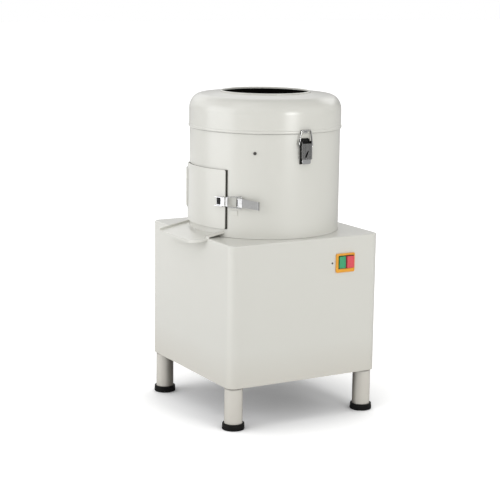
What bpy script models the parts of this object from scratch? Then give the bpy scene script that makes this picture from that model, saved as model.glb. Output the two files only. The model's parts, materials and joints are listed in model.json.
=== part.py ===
"""Electric potato peeler: a drum on a square cabinet with four legs.

Metres, +Z up, the floor at z = 0. The pieces are drawn in machine coordinates, where the Z axis is the
drum's axis, -Y is the front with the switch and -X is the side with the discharge door.
"""

import bmesh
import bpy
from math import asin, atan2, cos, hypot, pi, radians, sin
from mathutils import Matrix, Vector

# Fits and sheet
GAP = 0.0003                 # between pieces that touch
SLIDE_GAP = 0.0005           # round a piece that slides
OVERRUN = 0.004              # how far a cutter runs past what it cuts
SEAM = 0.0001                # step between the faces of plates that are joined
WELD_DISTANCE = 0.00001      # corners closer than this are one
ROUND_STEPS = 48             # sides of the drum, lid and what follows them
PIPE_STEPS = 20              # sides of legs, pipes and small round pieces
PIN_STEPS = 12               # sides of pins and wires
ROUND_PROFILE = 0.5          # bevel profile of a quarter round
PULLEY_STEPS = 30
HOUSING_STEPS = 24
BELT_STEPS = 20              # round each pulley
DISC_STEPS = 36
DISC_RINGS = 4

# Cabinet
CABINET_MARGIN = 0.026       # cabinet's faces out from the drum's
CABINET_BOTTOM = 0.1205
CABINET_HEIGHT = 0.3987
CABINET_CORNER = 0.024
CABINET_EDGE = 0.003
CABINET_CORNER_STEPS = 5
CABINET_SHEET = 0.0015
SHAFT_HOLE_RADIUS = 0.030

# Legs and feet
LEG_RADIUS = 0.0255
LEG_WALL = 0.002
LEG_INSET = 0.029
FOOT_RADIUS = 0.0315
FOOT_HEIGHT = 0.018
FOOT_FLOOR = 0.006
FOOT_EDGE = 0.0015
FOOT_TAPER = 0.0008

# Base pan, under the motor
PAN_RISE = 0.001             # pan's underside above the cabinet's lower edge
PAN_THICKNESS = 0.003
PAN_RIM = 0.0078             # between the pan's hole and the drain's
PAN_HOLE_DEPTH = 0.180
PAN_HOLE_BACK = 0.020
PAN_HOLE_CORNER = 0.012

# Rear service cover
COVER_WIDTH = 0.270
COVER_HEIGHT = 0.270
COVER_RISE = 0.0445          # above the cabinet's lower edge
COVER_THICKNESS = 0.0015
COVER_CORNER = 0.008
COVER_LAP = 0.015            # how far the cover overlaps its opening
VENT_COUNT = 5
VENT_WIDTH = 0.120
VENT_HEIGHT = 0.006
VENT_PITCH = 0.016
VENT_CORNER_SHARE = 0.49     # corner radius, of the vent's height
SCREW_RADIUS = 0.0042
SCREW_HEAD = 0.0022
SCREW_INSET = 0.0075

# Drum
DRUM_RADIUS = 0.215
DRUM_WALL = 0.002
DRUM_HEIGHT = 0.2902
FLOOR_THICKNESS = 0.003
HUB_RADIUS = 0.030
HUB_HEIGHT = 0.0165
HUB_BORE = 0.0155
SEAL_SEAT = 0.0065           # height of the seal's seat above the drum floor's underside
LINER_THICKNESS = 0.0095
LINER_RISE = 0.0105          # above the drum's lower edge
LINER_DROP = 0.0107          # below its upper edge
DRUM_BOLT_ANGLE = radians(-127.4)
DRUM_BOLT_DROP = 0.0527      # below the drum's upper edge
DRUM_BOLT_RADIUS = 0.0050
DRUM_BOLT_HEAD = 0.0045

STOP_TAB_NEAR = 0.0139       # small welded plate, from the door's free edge along the drum
STOP_TAB_WIDTH = 0.0218
STOP_TAB_RISE = 0.0635
STOP_TAB_HEIGHT = 0.0140
STOP_TAB_OUT = 0.0020

# Shaft, bearings and disc
SHAFT_RADIUS = 0.0122
SHAFT_BELOW = 0.0245         # below the belt's level
SHAFT_ABOVE = 0.0180         # above the disc
HOUSING_RADIUS = 0.036
HOUSING_LENGTH = 0.1192
HOUSING_FLANGE_RADIUS = 0.060
HOUSING_FLANGE = 0.008
BEARING_RADIUS = 0.026
BEARING_WIDTH = 0.015
BEARING_INSET = 0.006        # from the housing's ends
BEARING_GROOVE = 0.002
SEAL_RADIUS = 0.0245
SEAL_HEIGHT = 0.0080
DISC_CLEARANCE = 0.0082      # inside the liner
DISC_RISE = 0.0285           # above the drum's lower edge
DISC_THICKNESS = 0.0080
DISC_HUB_RADIUS = 0.024
DISC_HUB_DROP = 0.008
WAVE_COUNT = 3
WAVE_HEIGHT = 0.0100
WAVE_REACH_SHARE = 0.75      # of a half turn of sine, from the hub to the rim
PADDLE_INNER = 0.045
PADDLE_INSET = 0.010         # from the disc's rim
PADDLE_THICKNESS = 0.004
PADDLE_CLEARANCE = 0.0050    # above the drum's floor
NUT_RADIUS = 0.022
NUT_HEIGHT = 0.026
NUT_DOME = 0.010

# Belt drive
BELT_DROP = 0.0375           # below the bearing housing
PULLEY_GAP = 0.012           # between the two pulleys
MOTOR_PULLEY_RADIUS = 0.035
PULLEY_RIM = 0.017
PULLEY_HALF_WIDTH = 0.009
PULLEY_WEB = 0.006
PULLEY_HUB_RADIUS = 0.022
PULLEY_HUB_LENGTH = 0.030
GROOVE_DEPTH = 0.010
GROOVE_TOP = 0.0065
GROOVE_FLOOR = 0.0038
BELT_CLEARANCE = 0.0015      # belt's inner side above the groove's floor
BELT_THICKNESS = 0.0075
BELT_HALF_WIDTH = 0.0036

# Motor
MOTOR_RADIUS = 0.062
MOTOR_CLEARANCE = 0.027      # inside the cabinet's back
MOTOR_RISE = 0.0195          # above the cabinet's lower edge
MOTOR_DROP = 0.0405          # below the belt's level
MOTOR_BELL = 0.022
MOTOR_BELL_RADIUS = 0.046
MOTOR_RIBS = 2
MOTOR_RIB_DEPTH = 0.0025
MOTOR_SHAFT_RADIUS = 0.0095
MOTOR_SHAFT_ABOVE = 0.0155   # above the belt's level
MOTOR_PAD_WIDTH = 0.070
MOTOR_PAD_HEIGHT = 0.024
MOTOR_PAD_REACH = 0.012
BRACKET_WIDTH = 0.110
BRACKET_THICKNESS = 0.004
BRACKET_FOOT = 0.120
TERMINAL_DEPTH = 0.034
TERMINAL_WIDTH = 0.060
TERMINAL_HEIGHT = 0.055
TERMINAL_DROP = 0.097        # below the motor's top

# Drain, water inlet and cable gland
DRAIN_FROM_PULLEY = 0.0228
DRAIN_RADIUS = 0.0222
DRAIN_WALL = 0.002
DRAIN_FLANGE = 0.0285
DRAIN_FLANGE_THICKNESS = 0.002
DRAIN_BELOW = 0.0205         # below the cabinet
DRAIN_CLEARANCE = 0.001
INLET_DROP = 0.0397          # below the drum's upper edge
INLET_RADIUS = 0.0095
INLET_BORE = 0.0065
INLET_FLANGE = 0.018
INLET_FLANGE_THICKNESS = 0.003
INLET_LENGTH = 0.024
INLET_BARB = 0.0012
GLAND_INSET = 0.076          # from the cabinet's side
GLAND_RISE = 0.0395          # above its lower edge
GLAND_RADIUS = 0.0125
GLAND_THREAD = 0.0080
GLAND_BORE = 0.0045
GLAND_REACH = 0.018
GLAND_INSIDE = 0.010
GLAND_COLLAR = 0.006

# Lid
LID_OVERHANG = 0.0022        # outside the drum's face
LID_SHEET = 0.002
LID_BEAD = 0.0016            # how far the lower bead stands out
LID_BEAD_HEIGHT = 0.0060
LID_BEAD_LOW_SHARE = 0.3
LID_BEAD_HIGH_SHARE = 0.7
LID_HEIGHT = 0.0985          # up to the feed opening
LID_CROWN_DROP = 0.0058      # fall of the top out to the shoulder
SHOULDER_WIDTH = 0.0360
SHOULDER_HEIGHT = 0.0430
SHOULDER_STEPS = 6
FEED_RADIUS = 0.1236
FEED_WALL = 0.0015
FEED_DROP = 0.036
FEED_BEAD = 0.0030
FEED_BEAD_STEPS = 4
FEED_BEAD_TURN = 1.5 * pi    # how far the bead curls round
SEAL_THICKNESS = 0.0015
SEAL_LIP = 0.0018
SEAL_LIP_DROP = 0.007
SEAL_INSET = 0.0006          # seal's edge back from the lid's wall

# Discharge door
DOOR_START = radians(154.6)
DOOR_END = radians(210.6)
DOOR_RISE = 0.0227           # above the drum's lower edge
DOOR_HEIGHT = 0.1654
DOOR_THICKNESS = 0.003
DOOR_SEAL_THICKNESS = 0.0019
DOOR_SEAL_SHOW = 0.0060      # strip of seal that shows past the free edge
OPENING_SIDE_LAP = 0.01276   # how far the door overlaps its opening
OPENING_BOTTOM_LAP = 0.0138
OPENING_TOP_LAP = 0.0136
LINING_INSET = 0.0012        # lining's edge back from the seal round it
ARC_STEPS = 20

# Door hinge
HINGE_NEAR = 0.00976         # axis from the door's edge, along the drum
HINGE_OUT = 0.0055           # axis out from the drum's face
HINGE_RISE = 0.0378          # above the door's lower edge
HINGE_LENGTH = 0.110
KNUCKLE_RADIUS = 0.0042
KNUCKLE_BORE = 0.0023
KNUCKLE_STRAP_SHARE = 0.75   # how far a strap runs into its knuckle
KNUCKLE_SHARE = 0.34         # middle knuckle's share of the hinge's length
HINGE_PIN_RADIUS = 0.0019
HINGE_PIN_END = 0.0025
LEAF_THICKNESS = 0.0015
LEAF_NEAR = 0.0075           # leaf's edge from the axis, along the drum
LEAF_WIDTH = 0.028
LEAF_STEPS = 8

# Chute
CHUTE_WIDTH = 0.210
CHUTE_OVERHANG = 0.0420      # past the cabinet's side
CHUTE_SHEET = 0.0015
CHUTE_WALL_HEIGHT = 0.0068
CHUTE_LIP = 0.0090
CHUTE_SLOPE = 0.198
CHUTE_LIFT = 0.0006          # underside above the cabinet's top edge
CHUTE_ROOT = 0.020           # how far the tray is drawn in under the drum, and then cut

# Switch on the front
SWITCH_INSET = 0.1158        # centre from the cabinet's side
SWITCH_DROP = 0.0747         # centre below the cabinet's top
SURROUND_WIDTH = 0.0610
SURROUND_HEIGHT = 0.0540
SURROUND_THICKNESS = 0.0040
SURROUND_CORNER = 0.0030
WINDOW_WIDTH = 0.0510
WINDOW_HEIGHT = 0.0380
WINDOW_SHIFT = 0.0023        # window's centre right of the surround's
WINDOW_RAISE = 0.0020
BLOCK_FRONT = 0.0022         # block's face out from the cabinet's face
BLOCK_BACK = 0.0340
WELL_DEPTH = 0.0080
BUTTON_HEIGHT = 0.0330
START_WIDTH = 0.0200
STOP_WIDTH = 0.0230
BUTTON_SPACE = 0.0030
START_OUT = 0.0065
STOP_OUT = 0.0105
BUTTON_EDGE = 0.0012
BUTTON_TRAVEL = 0.0030
SWITCH_SCREW_LEFT = 0.0414   # from the switch's centre
SWITCH_SCREW_RAISE = 0.0013
SWITCH_SCREW_RADIUS = 0.0026
SWITCH_SCREW_HEAD = 0.0016

# Toggle latches. A latch is drawn lying flat: X across it, Y towards its hook, Z out of the drum.
LATCH_AXIS_OUT = 0.0090
LATCH_PLATE = 0.0015
LATCH_EAR = 0.0015
LATCH_EAR_RADIUS = 0.0037
LATCH_PIN_RADIUS = 0.0018
LATCH_HOLE_RADIUS = 0.0022
LEVER_PLATE = 0.0016
LEVER_FACE_OUT = 0.0038      # lever's inner face above its axis
LEVER_CHEEK_RADIUS = 0.0052
LEVER_SETBACK = 0.0020       # lever's face starts this far behind its axis
WIRE_RADIUS = 0.0016
WIRE_BEND_SHARE = 2.2        # bend radius, of the wire's
WIRE_BEND_STEPS = 3
BAIL_AXIS_DROP = 0.0015      # bail's pivot below the lever's
BAIL_REST_OUT = 0.0075       # wire's centre out from the drum
LATCH_LIP = 0.0030
LATCH_RAIL = 0.0062          # height of the base's side rails

LID_LATCH = {
    "half_width": 0.0147,
    "base_length": 0.0590,
    "lever_length": 0.0440,
    "bail_back": 0.0120,
    "bail_reach": 0.0335,
    "bail_waist": 0.0212,
    "bail_end": 0.0150,
    "bail_knee": 0.0060,
    "handle": 0.0,
    "droop": 0.0,
}
DOOR_LATCH = {
    "half_width": 0.0105,
    "base_length": 0.0300,
    "lever_length": 0.0130,
    "bail_back": 0.0090,
    "bail_reach": 0.0345,
    "bail_waist": 0.0160,
    "bail_end": 0.0135,
    "bail_knee": 0.0040,
    "handle": 0.0600,
    "droop": radians(6.0),
}
HANDLE_CURL = 0.0030
LID_LATCH_DROP = 0.0237      # lever's axis below the drum's upper edge
DOOR_LATCH_FAR = 0.0405      # lever's axis from the door's free edge, along the drum
DOOR_LATCH_RISE = 0.0783     # above the door's lower edge

# Keeper lug on the lid, behind the bail's top bar
KEEPER_HALF_WIDTH = 0.0070
KEEPER_THICKNESS = 0.0013
KEEPER_RISE = 0.0006         # above the lid's lower edge
KEEPER_HEIGHT = 0.0048

# Catch on the door
CATCH_INSET = 0.0030         # from the door's free edge, along the drum
CATCH_LENGTH = 0.0240
CATCH_LIP_REACH = 0.0026     # past the free edge
CATCH_LIP_LENGTH = 0.0109
CATCH_HALF_HEIGHT = 0.0130
CATCH_PLATE = 0.0015
CATCH_EAR_OUT = 0.0120
CATCH_EAR_THICKNESS = 0.0020
CATCH_LIP_OUT = 0.0075

# Cabinet's faces and levels
SIDE_X = DRUM_RADIUS + CABINET_MARGIN
FACE_Y = DRUM_RADIUS + CABINET_MARGIN
CABINET_TOP = CABINET_BOTTOM + CABINET_HEIGHT
UNDER_TOP = CABINET_TOP - CABINET_SHEET
PAN_BOTTOM = CABINET_BOTTOM + PAN_RISE
PAN_TOP = PAN_BOTTOM + PAN_THICKNESS
COVER_BOTTOM = CABINET_BOTTOM + COVER_RISE
GLAND_PLACE = GLAND_INSET - SIDE_X
GLAND_HEIGHT = CABINET_BOTTOM + GLAND_RISE
SWITCH_X = SIDE_X - SWITCH_INSET
SWITCH_Z = CABINET_TOP - SWITCH_DROP
CHUTE_REACH = SIDE_X + CHUTE_OVERHANG

# Drum's levels
DRUM_BOTTOM = CABINET_TOP + GAP
DRUM_TOP = DRUM_BOTTOM + DRUM_HEIGHT
LINER_BOTTOM = DRUM_BOTTOM + LINER_RISE
LINER_TOP = DRUM_TOP - LINER_DROP
INLET_HEIGHT = DRUM_TOP - INLET_DROP
LID_RADIUS = DRUM_RADIUS + LID_OVERHANG
LID_BOTTOM = DRUM_TOP + 2 * GAP + SEAL_THICKNESS
LID_CROWN = LID_BOTTOM + LID_HEIGHT

# Disc and drive
DISC_RADIUS = DRUM_RADIUS - DRUM_WALL - GAP - LINER_THICKNESS - DISC_CLEARANCE
DISC_BOTTOM = DRUM_BOTTOM + DISC_RISE
DISC_TOP = DISC_BOTTOM + DISC_THICKNESS
PADDLE_OUTER = DISC_RADIUS - PADDLE_INSET
PADDLE_BOTTOM = DRUM_BOTTOM + FLOOR_THICKNESS + PADDLE_CLEARANCE
HOUSING_BOTTOM = CABINET_TOP - HOUSING_LENGTH
BELT_LEVEL = HOUSING_BOTTOM - BELT_DROP
SHAFT_BOTTOM = BELT_LEVEL - SHAFT_BELOW
SHAFT_TOP = DISC_TOP + SHAFT_ABOVE
MOTOR_DISTANCE = FACE_Y - MOTOR_CLEARANCE - MOTOR_RADIUS
MOTOR_BOTTOM = CABINET_BOTTOM + MOTOR_RISE
MOTOR_TOP = BELT_LEVEL - MOTOR_DROP
MOTOR_SHAFT_TOP = BELT_LEVEL + MOTOR_SHAFT_ABOVE
BRACKET_TOP = MOTOR_TOP - MOTOR_BELL
TERMINAL_BOTTOM = MOTOR_TOP - TERMINAL_DROP
PULLEY_RADIUS = MOTOR_DISTANCE - MOTOR_PULLEY_RADIUS - PULLEY_GAP
DRAIN_PLACE = PULLEY_RADIUS + DRAIN_RADIUS + DRAIN_FROM_PULLEY
DRAIN_BOTTOM = CABINET_BOTTOM - DRAIN_BELOW
PAN_HOLE_WIDTH = 2 * (DRAIN_PLACE - DRAIN_RADIUS - PAN_RIM)

# Door, its hinge and its latch
DOOR_BOTTOM = DRUM_BOTTOM + DOOR_RISE
DOOR_TOP = DOOR_BOTTOM + DOOR_HEIGHT
OPENING_START = DOOR_START + OPENING_SIDE_LAP / DRUM_RADIUS
OPENING_END = DOOR_END - OPENING_SIDE_LAP / DRUM_RADIUS
OPENING_BOTTOM = DOOR_BOTTOM + OPENING_BOTTOM_LAP
OPENING_TOP = DOOR_TOP - OPENING_TOP_LAP
HINGE_ANGLE = DOOR_START - HINGE_NEAR / DRUM_RADIUS
HINGE_RADIUS = DRUM_RADIUS + HINGE_OUT
HINGE_BOTTOM = DOOR_BOTTOM + HINGE_RISE
HINGE_TOP = HINGE_BOTTOM + HINGE_LENGTH
STOP_TAB_START = DOOR_END + STOP_TAB_NEAR / DRUM_RADIUS
STOP_TAB_END = STOP_TAB_START + STOP_TAB_WIDTH / DRUM_RADIUS
STOP_TAB_BOTTOM = DRUM_BOTTOM + STOP_TAB_RISE
CATCH_END = DOOR_END - CATCH_INSET / DRUM_RADIUS
CATCH_START = CATCH_END - CATCH_LENGTH / DRUM_RADIUS
CATCH_LIP_END = DOOR_END + CATCH_LIP_REACH / DRUM_RADIUS
CATCH_LIP_START = CATCH_LIP_END - CATCH_LIP_LENGTH / DRUM_RADIUS
DOOR_LATCH_ANGLE = DOOR_END + DOOR_LATCH_FAR / DRUM_RADIUS
DOOR_LATCH_HEIGHT = DOOR_BOTTOM + DOOR_LATCH_RISE

# The origin stands under the middle of the machine's outer size
ORIGIN_X = (CHUTE_REACH - (SIDE_X - LEG_INSET + FOOT_RADIUS)) / 2
ORIGIN_Y = (STOP_OUT - GLAND_REACH) / 2

FACE_UP = Matrix.Rotation(radians(90), 4, "X")       # stands a flat sheet up, its thickness along -Y
CROSSWAYS = Matrix(((0, 0, 1), (1, 0, 0), (0, 1, 0))).to_4x4()      # stands it up with its thickness along X

for old in list(bpy.data.objects):
    bpy.data.objects.remove(old, do_unlink=True)

pieces = bpy.data.collections.new("Electric potato peeler")
cutters = bpy.data.collections.new("Cutters")
bpy.context.scene.collection.children.link(pieces)
bpy.context.scene.collection.children.link(cutters)

drawn_from = {}              # for each holder, where it stands in its pieces' coordinates


def make_material(name, colour, roughness, metallic=0.0):
    made = bpy.data.materials.new(name)
    made.use_nodes = True
    shader = made.node_tree.nodes["Principled BSDF"]
    shader.inputs["Base Color"].default_value = (*colour, 1.0)
    shader.inputs["Roughness"].default_value = roughness
    shader.inputs["Metallic"].default_value = metallic
    made.diffuse_color = (*colour, 1.0)
    return made


paint = make_material("cream paint", (0.74, 0.73, 0.68), 0.32)
black_rubber = make_material("black rubber", (0.012, 0.010, 0.009), 0.75)
chrome = make_material("bright chrome", (0.82, 0.82, 0.83), 0.12, 1.0)
zinc = make_material("zinc plated steel", (0.60, 0.61, 0.62), 0.35, 1.0)
steel = make_material("turned steel", (0.45, 0.45, 0.46), 0.30, 1.0)
cast_iron = make_material("cast iron", (0.09, 0.09, 0.10), 0.60, 0.6)
motor_paint = make_material("motor grey paint", (0.18, 0.22, 0.24), 0.45)
abrasive = make_material("abrasive grit", (0.16, 0.15, 0.14), 0.95)
surround_plastic = make_material("yellow plastic", (0.80, 0.42, 0.06), 0.35)
dark_plastic = make_material("dark plastic", (0.06, 0.02, 0.015), 0.45)
green_plastic = make_material("green plastic", (0.05, 0.42, 0.16), 0.30)
red_plastic = make_material("red plastic", (0.72, 0.05, 0.09), 0.30)


def holder(name, place=(0, 0, 0), parent=None, turn=None):
    """An empty. With a turn it starts coordinates of its own; without, it keeps its parent's."""
    empty = bpy.data.objects.new(name, None)
    pieces.objects.link(empty)
    place = Vector(place)
    if parent is None:
        empty.location = place
    else:
        empty.parent = parent
        empty.location = place - drawn_from[parent.name]
    if turn is None and parent is not None:
        drawn_from[name] = place
    else:
        drawn_from[name] = Vector((0, 0, 0))
    if turn is not None:
        empty.rotation_euler = turn.to_euler()
    return empty


machine = holder("machine", (ORIGIN_X, ORIGIN_Y, 0))
disc_axis = holder("disc axis", parent=machine)
motor_axis = holder("motor axis", (0, MOTOR_DISTANCE, 0), machine)
lid_axis = holder("lid lift", (0, 0, LID_BOTTOM), machine)
door_axis = holder(
    "door hinge axis", (HINGE_RADIUS * cos(HINGE_ANGLE), HINGE_RADIUS * sin(HINGE_ANGLE), 0), machine)


def set_down(obj, on, made_of=None):
    """Hangs an object drawn in machine or latch coordinates from its holder."""
    obj.parent = on
    obj.location = obj.location - drawn_from[on.name]
    if made_of is None:
        cutters.objects.link(obj)
        obj.hide_render = True
        obj.display_type = "WIRE"
        return obj
    pieces.objects.link(obj)
    obj.data.materials.append(made_of)
    return obj


def smooth(mesh, angle=radians(32)):
    mesh.shade_smooth()
    mesh.set_sharp_from_angle(angle=angle)


def solid(name, bm, on, made_of=None):
    """Makes an object from a bmesh and lets it go."""
    bmesh.ops.recalc_face_normals(bm, faces=bm.faces)
    mesh = bpy.data.meshes.new(name)
    bm.to_mesh(mesh)
    bm.free()
    smooth(mesh)
    return set_down(bpy.data.objects.new(name, mesh), on, made_of)


def box(name, low, high, on, made_of=None, edge=0.0, edge_steps=2):
    bm = bmesh.new()
    bmesh.ops.create_cube(bm, size=1)
    size = [h - l for l, h in zip(low, high)]
    middle = [(h + l) / 2 for l, h in zip(low, high)]
    bmesh.ops.scale(bm, vec=size, verts=bm.verts)
    bmesh.ops.translate(bm, vec=middle, verts=bm.verts)
    if edge:
        bmesh.ops.bevel(bm, geom=list(bm.edges), offset=edge, segments=edge_steps, profile=ROUND_PROFILE,
                        affect="EDGES")
    return solid(name, bm, on, made_of)


def turned(name, profile, on, made_of=None, steps=PIPE_STEPS, centre=(0, 0), closed=True):
    """A profile of (radius, height) points turned about an upright axis through centre.
    A closed profile makes a ring; an open one starts and ends on the axis."""
    ring = list(profile)
    area = sum(a[0] * b[1] - b[0] * a[1] for a, b in zip(ring, ring[1:] + ring[:1]))
    if area > 0:
        ring.reverse()
    mesh = bpy.data.meshes.new(name)
    count = len(ring)
    edges = [(i, i + 1) for i in range(count - 1)]
    if closed:
        edges.append((count - 1, 0))
    mesh.from_pydata([(r, 0, z) for r, z in ring], edges, [])
    obj = bpy.data.objects.new(name, mesh)
    obj.location = (centre[0], centre[1], 0)
    screw = obj.modifiers.new("turn", "SCREW")
    screw.steps = steps
    screw.render_steps = steps
    screw.use_merge_vertices = True
    screw.merge_threshold = WELD_DISTANCE
    screw.use_smooth_shade = True
    return set_down(obj, on, made_of)


def sector(name, profile, start, end, on, made_of=None, steps=ARC_STEPS):
    """A closed profile of (radius, height) points swept about the drum's axis from start to end."""
    bm = bmesh.new()
    corners = [bm.verts.new((r * cos(start), r * sin(start), z)) for r, z in profile]
    face = bm.faces.new(corners)
    swept = [face] + list(face.edges) + list(face.verts)
    bmesh.ops.spin(bm, geom=swept, cent=(0, 0, 0), axis=(0, 0, 1), angle=end - start, steps=steps)
    return solid(name, bm, on, made_of)


def band(inner, outer, bottom, top):
    """The profile of a plain ring."""
    return [(inner, bottom), (outer, bottom), (outer, top), (inner, top)]


def rounded_outline(width, height, corner, centre=(0, 0), steps=4):
    points = []
    for quarter, (sx, sy) in enumerate(((1, 1), (-1, 1), (-1, -1), (1, -1))):
        cx = centre[0] + sx * (width / 2 - corner)
        cy = centre[1] + sy * (height / 2 - corner)
        for i in range(steps + 1):
            a = (quarter + i / steps) * pi / 2
            points.append((cx + corner * cos(a), cy + corner * sin(a)))
    return points


def circle_outline(radius, centre, steps=PIPE_STEPS):
    return [(centre[0] + radius * cos(2 * pi * i / steps), centre[1] + radius * sin(2 * pi * i / steps))
            for i in range(steps)]


def curve_mesh(name, curve):
    """Turns a filled curve into one closed mesh."""
    carrier = bpy.data.objects.new(name, curve)
    bpy.context.scene.collection.objects.link(carrier)
    bpy.context.view_layer.update()
    graph = bpy.context.evaluated_depsgraph_get()
    mesh = bpy.data.meshes.new_from_object(carrier.evaluated_get(graph))
    bpy.data.objects.remove(carrier, do_unlink=True)
    bpy.data.curves.remove(curve)
    bm = bmesh.new()
    bm.from_mesh(mesh)
    bmesh.ops.remove_doubles(bm, verts=bm.verts, dist=WELD_DISTANCE)
    bpy.data.meshes.remove(mesh)
    return bm


def flat(name, outlines, low, high, on, made_of=None, stand=None, drop=None):
    """A sheet between low and high with the first outline as its edge and the others as holes."""
    curve = bpy.data.curves.new(name, "CURVE")
    curve.dimensions = "2D"
    curve.fill_mode = "BOTH"
    curve.extrude = (high - low) / 2
    for outline in outlines:
        spline = curve.splines.new("POLY")
        spline.points.add(len(outline) - 1)
        for point, (x, y) in zip(spline.points, outline):
            point.co = (x, y, 0, 1)
        spline.use_cyclic_u = True
    bm = curve_mesh(name, curve)
    bmesh.ops.translate(bm, vec=(0, 0, (low + high) / 2), verts=bm.verts)
    if stand is not None:
        bmesh.ops.transform(bm, matrix=stand, verts=bm.verts)
    if drop is not None:
        for v in bm.verts:
            v.co.z += drop(v.co)
    return solid(name, bm, on, made_of)


def wire(name, points, radius, on, made_of, rounds=2):
    curve = bpy.data.curves.new(name, "CURVE")
    curve.dimensions = "3D"
    curve.bevel_depth = radius
    curve.bevel_resolution = rounds
    curve.use_fill_caps = True
    spline = curve.splines.new("POLY")
    spline.points.add(len(points) - 1)
    for point, place in zip(spline.points, points):
        point.co = (*place, 1)
    return solid(name, curve_mesh(name, curve), on, made_of)


def rod(name, radius, start, end, on, made_of=None, steps=PIN_STEPS):
    """A straight round bar between two points."""
    start = Vector(start)
    end = Vector(end)
    bm = bmesh.new()
    bmesh.ops.create_cone(bm, cap_ends=True, segments=steps, radius1=radius, radius2=radius,
                          depth=(end - start).length)
    spin = Vector((0, 0, 1)).rotation_difference(end - start).to_matrix().to_4x4()
    bmesh.ops.transform(bm, matrix=Matrix.Translation((start + end) / 2) @ spin, verts=bm.verts)
    return solid(name, bm, on, made_of)


def boolean(obj, tool, operation):
    step = obj.modifiers.new(operation.lower() + " " + tool.name, "BOOLEAN")
    step.operation = operation
    step.solver = "EXACT"
    step.object = tool
    return obj


def cut(obj, *tools):
    for tool in tools:
        boolean(obj, tool, "DIFFERENCE")
    return obj


def join(obj, *tools):
    for tool in tools:
        boolean(obj, tool, "UNION")
    return obj


def round_path(points, radius, steps=4):
    """Rounds the corners of a path of points with arcs."""
    points = [Vector(p) for p in points]
    path = [points[0]]
    for before, corner, after in zip(points, points[1:], points[2:]):
        to_before = (before - corner).normalized()
        to_after = (after - corner).normalized()
        half = to_before.angle(to_after) / 2
        reach = min(radius / abs(sin(half) / cos(half)), (before - corner).length / 2,
                    (after - corner).length / 2)
        first = corner + to_before * reach
        last = corner + to_after * reach
        for i in range(steps + 1):
            t = i / steps
            path.append(first * (1 - t) ** 2 + corner * 2 * t * (1 - t) + last * t ** 2)
    path.append(points[-1])
    return path


def make_cabinet():
    bm = bmesh.new()
    bmesh.ops.create_cube(bm, size=1)
    bmesh.ops.scale(bm, vec=(2 * SIDE_X, 2 * FACE_Y, CABINET_HEIGHT), verts=bm.verts)
    bmesh.ops.translate(bm, vec=(0, 0, (CABINET_TOP + CABINET_BOTTOM) / 2), verts=bm.verts)
    upright = [e for e in bm.edges if abs(e.verts[0].co.z - e.verts[1].co.z) > CABINET_CORNER]
    bmesh.ops.bevel(bm, geom=upright, offset=CABINET_CORNER, segments=CABINET_CORNER_STEPS,
                    profile=ROUND_PROFILE, affect="EDGES")
    top = max(bm.faces, key=lambda f: f.calc_center_median().z)
    bmesh.ops.bevel(bm, geom=list(top.edges), offset=CABINET_EDGE, segments=2, profile=ROUND_PROFILE,
                    affect="EDGES")
    bottom = min(bm.faces, key=lambda f: f.calc_center_median().z)
    bmesh.ops.delete(bm, geom=[bottom], context="FACES_ONLY")
    shell = solid("cabinet_shell", bm, machine, paint)
    wall = shell.modifiers.new("sheet", "SOLIDIFY")
    wall.thickness = CABINET_SHEET
    wall.offset = -1
    wall.use_even_offset = True
    shaft_hole = rod("shaft hole", SHAFT_HOLE_RADIUS, (0, 0, UNDER_TOP - OVERRUN),
                     (0, 0, CABINET_TOP + OVERRUN),
                     machine, steps=PIPE_STEPS)
    drain_hole = rod("drain hole", DRAIN_RADIUS + DRAIN_CLEARANCE, (DRAIN_PLACE, 0, UNDER_TOP - OVERRUN),
                     (DRAIN_PLACE, 0, CABINET_TOP + OVERRUN), machine, steps=PIPE_STEPS)
    service = box("service opening", (-COVER_WIDTH / 2 + COVER_LAP, FACE_Y - CABINET_SHEET - OVERRUN,
                                      COVER_BOTTOM + COVER_LAP),
                  (COVER_WIDTH / 2 - COVER_LAP, FACE_Y + OVERRUN, COVER_BOTTOM + COVER_HEIGHT - COVER_LAP),
                  machine)
    window = box("switch opening",
                 (SWITCH_X + WINDOW_SHIFT - WINDOW_WIDTH / 2, -FACE_Y - OVERRUN,
                  SWITCH_Z + WINDOW_RAISE - WINDOW_HEIGHT / 2),
                 (SWITCH_X + WINDOW_SHIFT + WINDOW_WIDTH / 2, -FACE_Y + CABINET_SHEET + OVERRUN,
                  SWITCH_Z + WINDOW_RAISE + WINDOW_HEIGHT / 2), machine)
    gland_hole = rod("gland hole", GLAND_THREAD + GAP,
                     (GLAND_PLACE, FACE_Y - CABINET_SHEET - OVERRUN, GLAND_HEIGHT),
                     (GLAND_PLACE, FACE_Y + OVERRUN, GLAND_HEIGHT), machine)
    cut(shell, shaft_hole, drain_hole, service, window, gland_hole)


def make_rear_cover():
    middle = COVER_BOTTOM + COVER_HEIGHT / 2
    back = FACE_Y + GAP
    outlines = [rounded_outline(COVER_WIDTH, COVER_HEIGHT, COVER_CORNER, (0, middle))]
    for i in range(VENT_COUNT):
        rise = (i - (VENT_COUNT - 1) / 2) * VENT_PITCH
        outlines.append(rounded_outline(VENT_WIDTH, VENT_HEIGHT, VENT_HEIGHT * VENT_CORNER_SHARE,
                                        (0, middle + rise), 3))
    flat("rear_cover", outlines, -back - COVER_THICKNESS, -back, machine, paint, FACE_UP)
    face = back + COVER_THICKNESS + GAP
    height = COVER_BOTTOM + COVER_HEIGHT - SCREW_INSET
    for name, side in (("cover_screw_left", 1), ("cover_screw_right", -1)):
        x = side * (COVER_WIDTH / 2 - COVER_LAP)
        rod(name, SCREW_RADIUS, (x, face, height), (x, face + SCREW_HEAD, height), machine, zinc)


def leg_places():
    reach_x = SIDE_X - LEG_INSET
    reach_y = FACE_Y - LEG_INSET
    return {"front_left": (-reach_x, -reach_y), "front_right": (reach_x, -reach_y),
            "rear_left": (-reach_x, reach_y), "rear_right": (reach_x, reach_y)}


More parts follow.
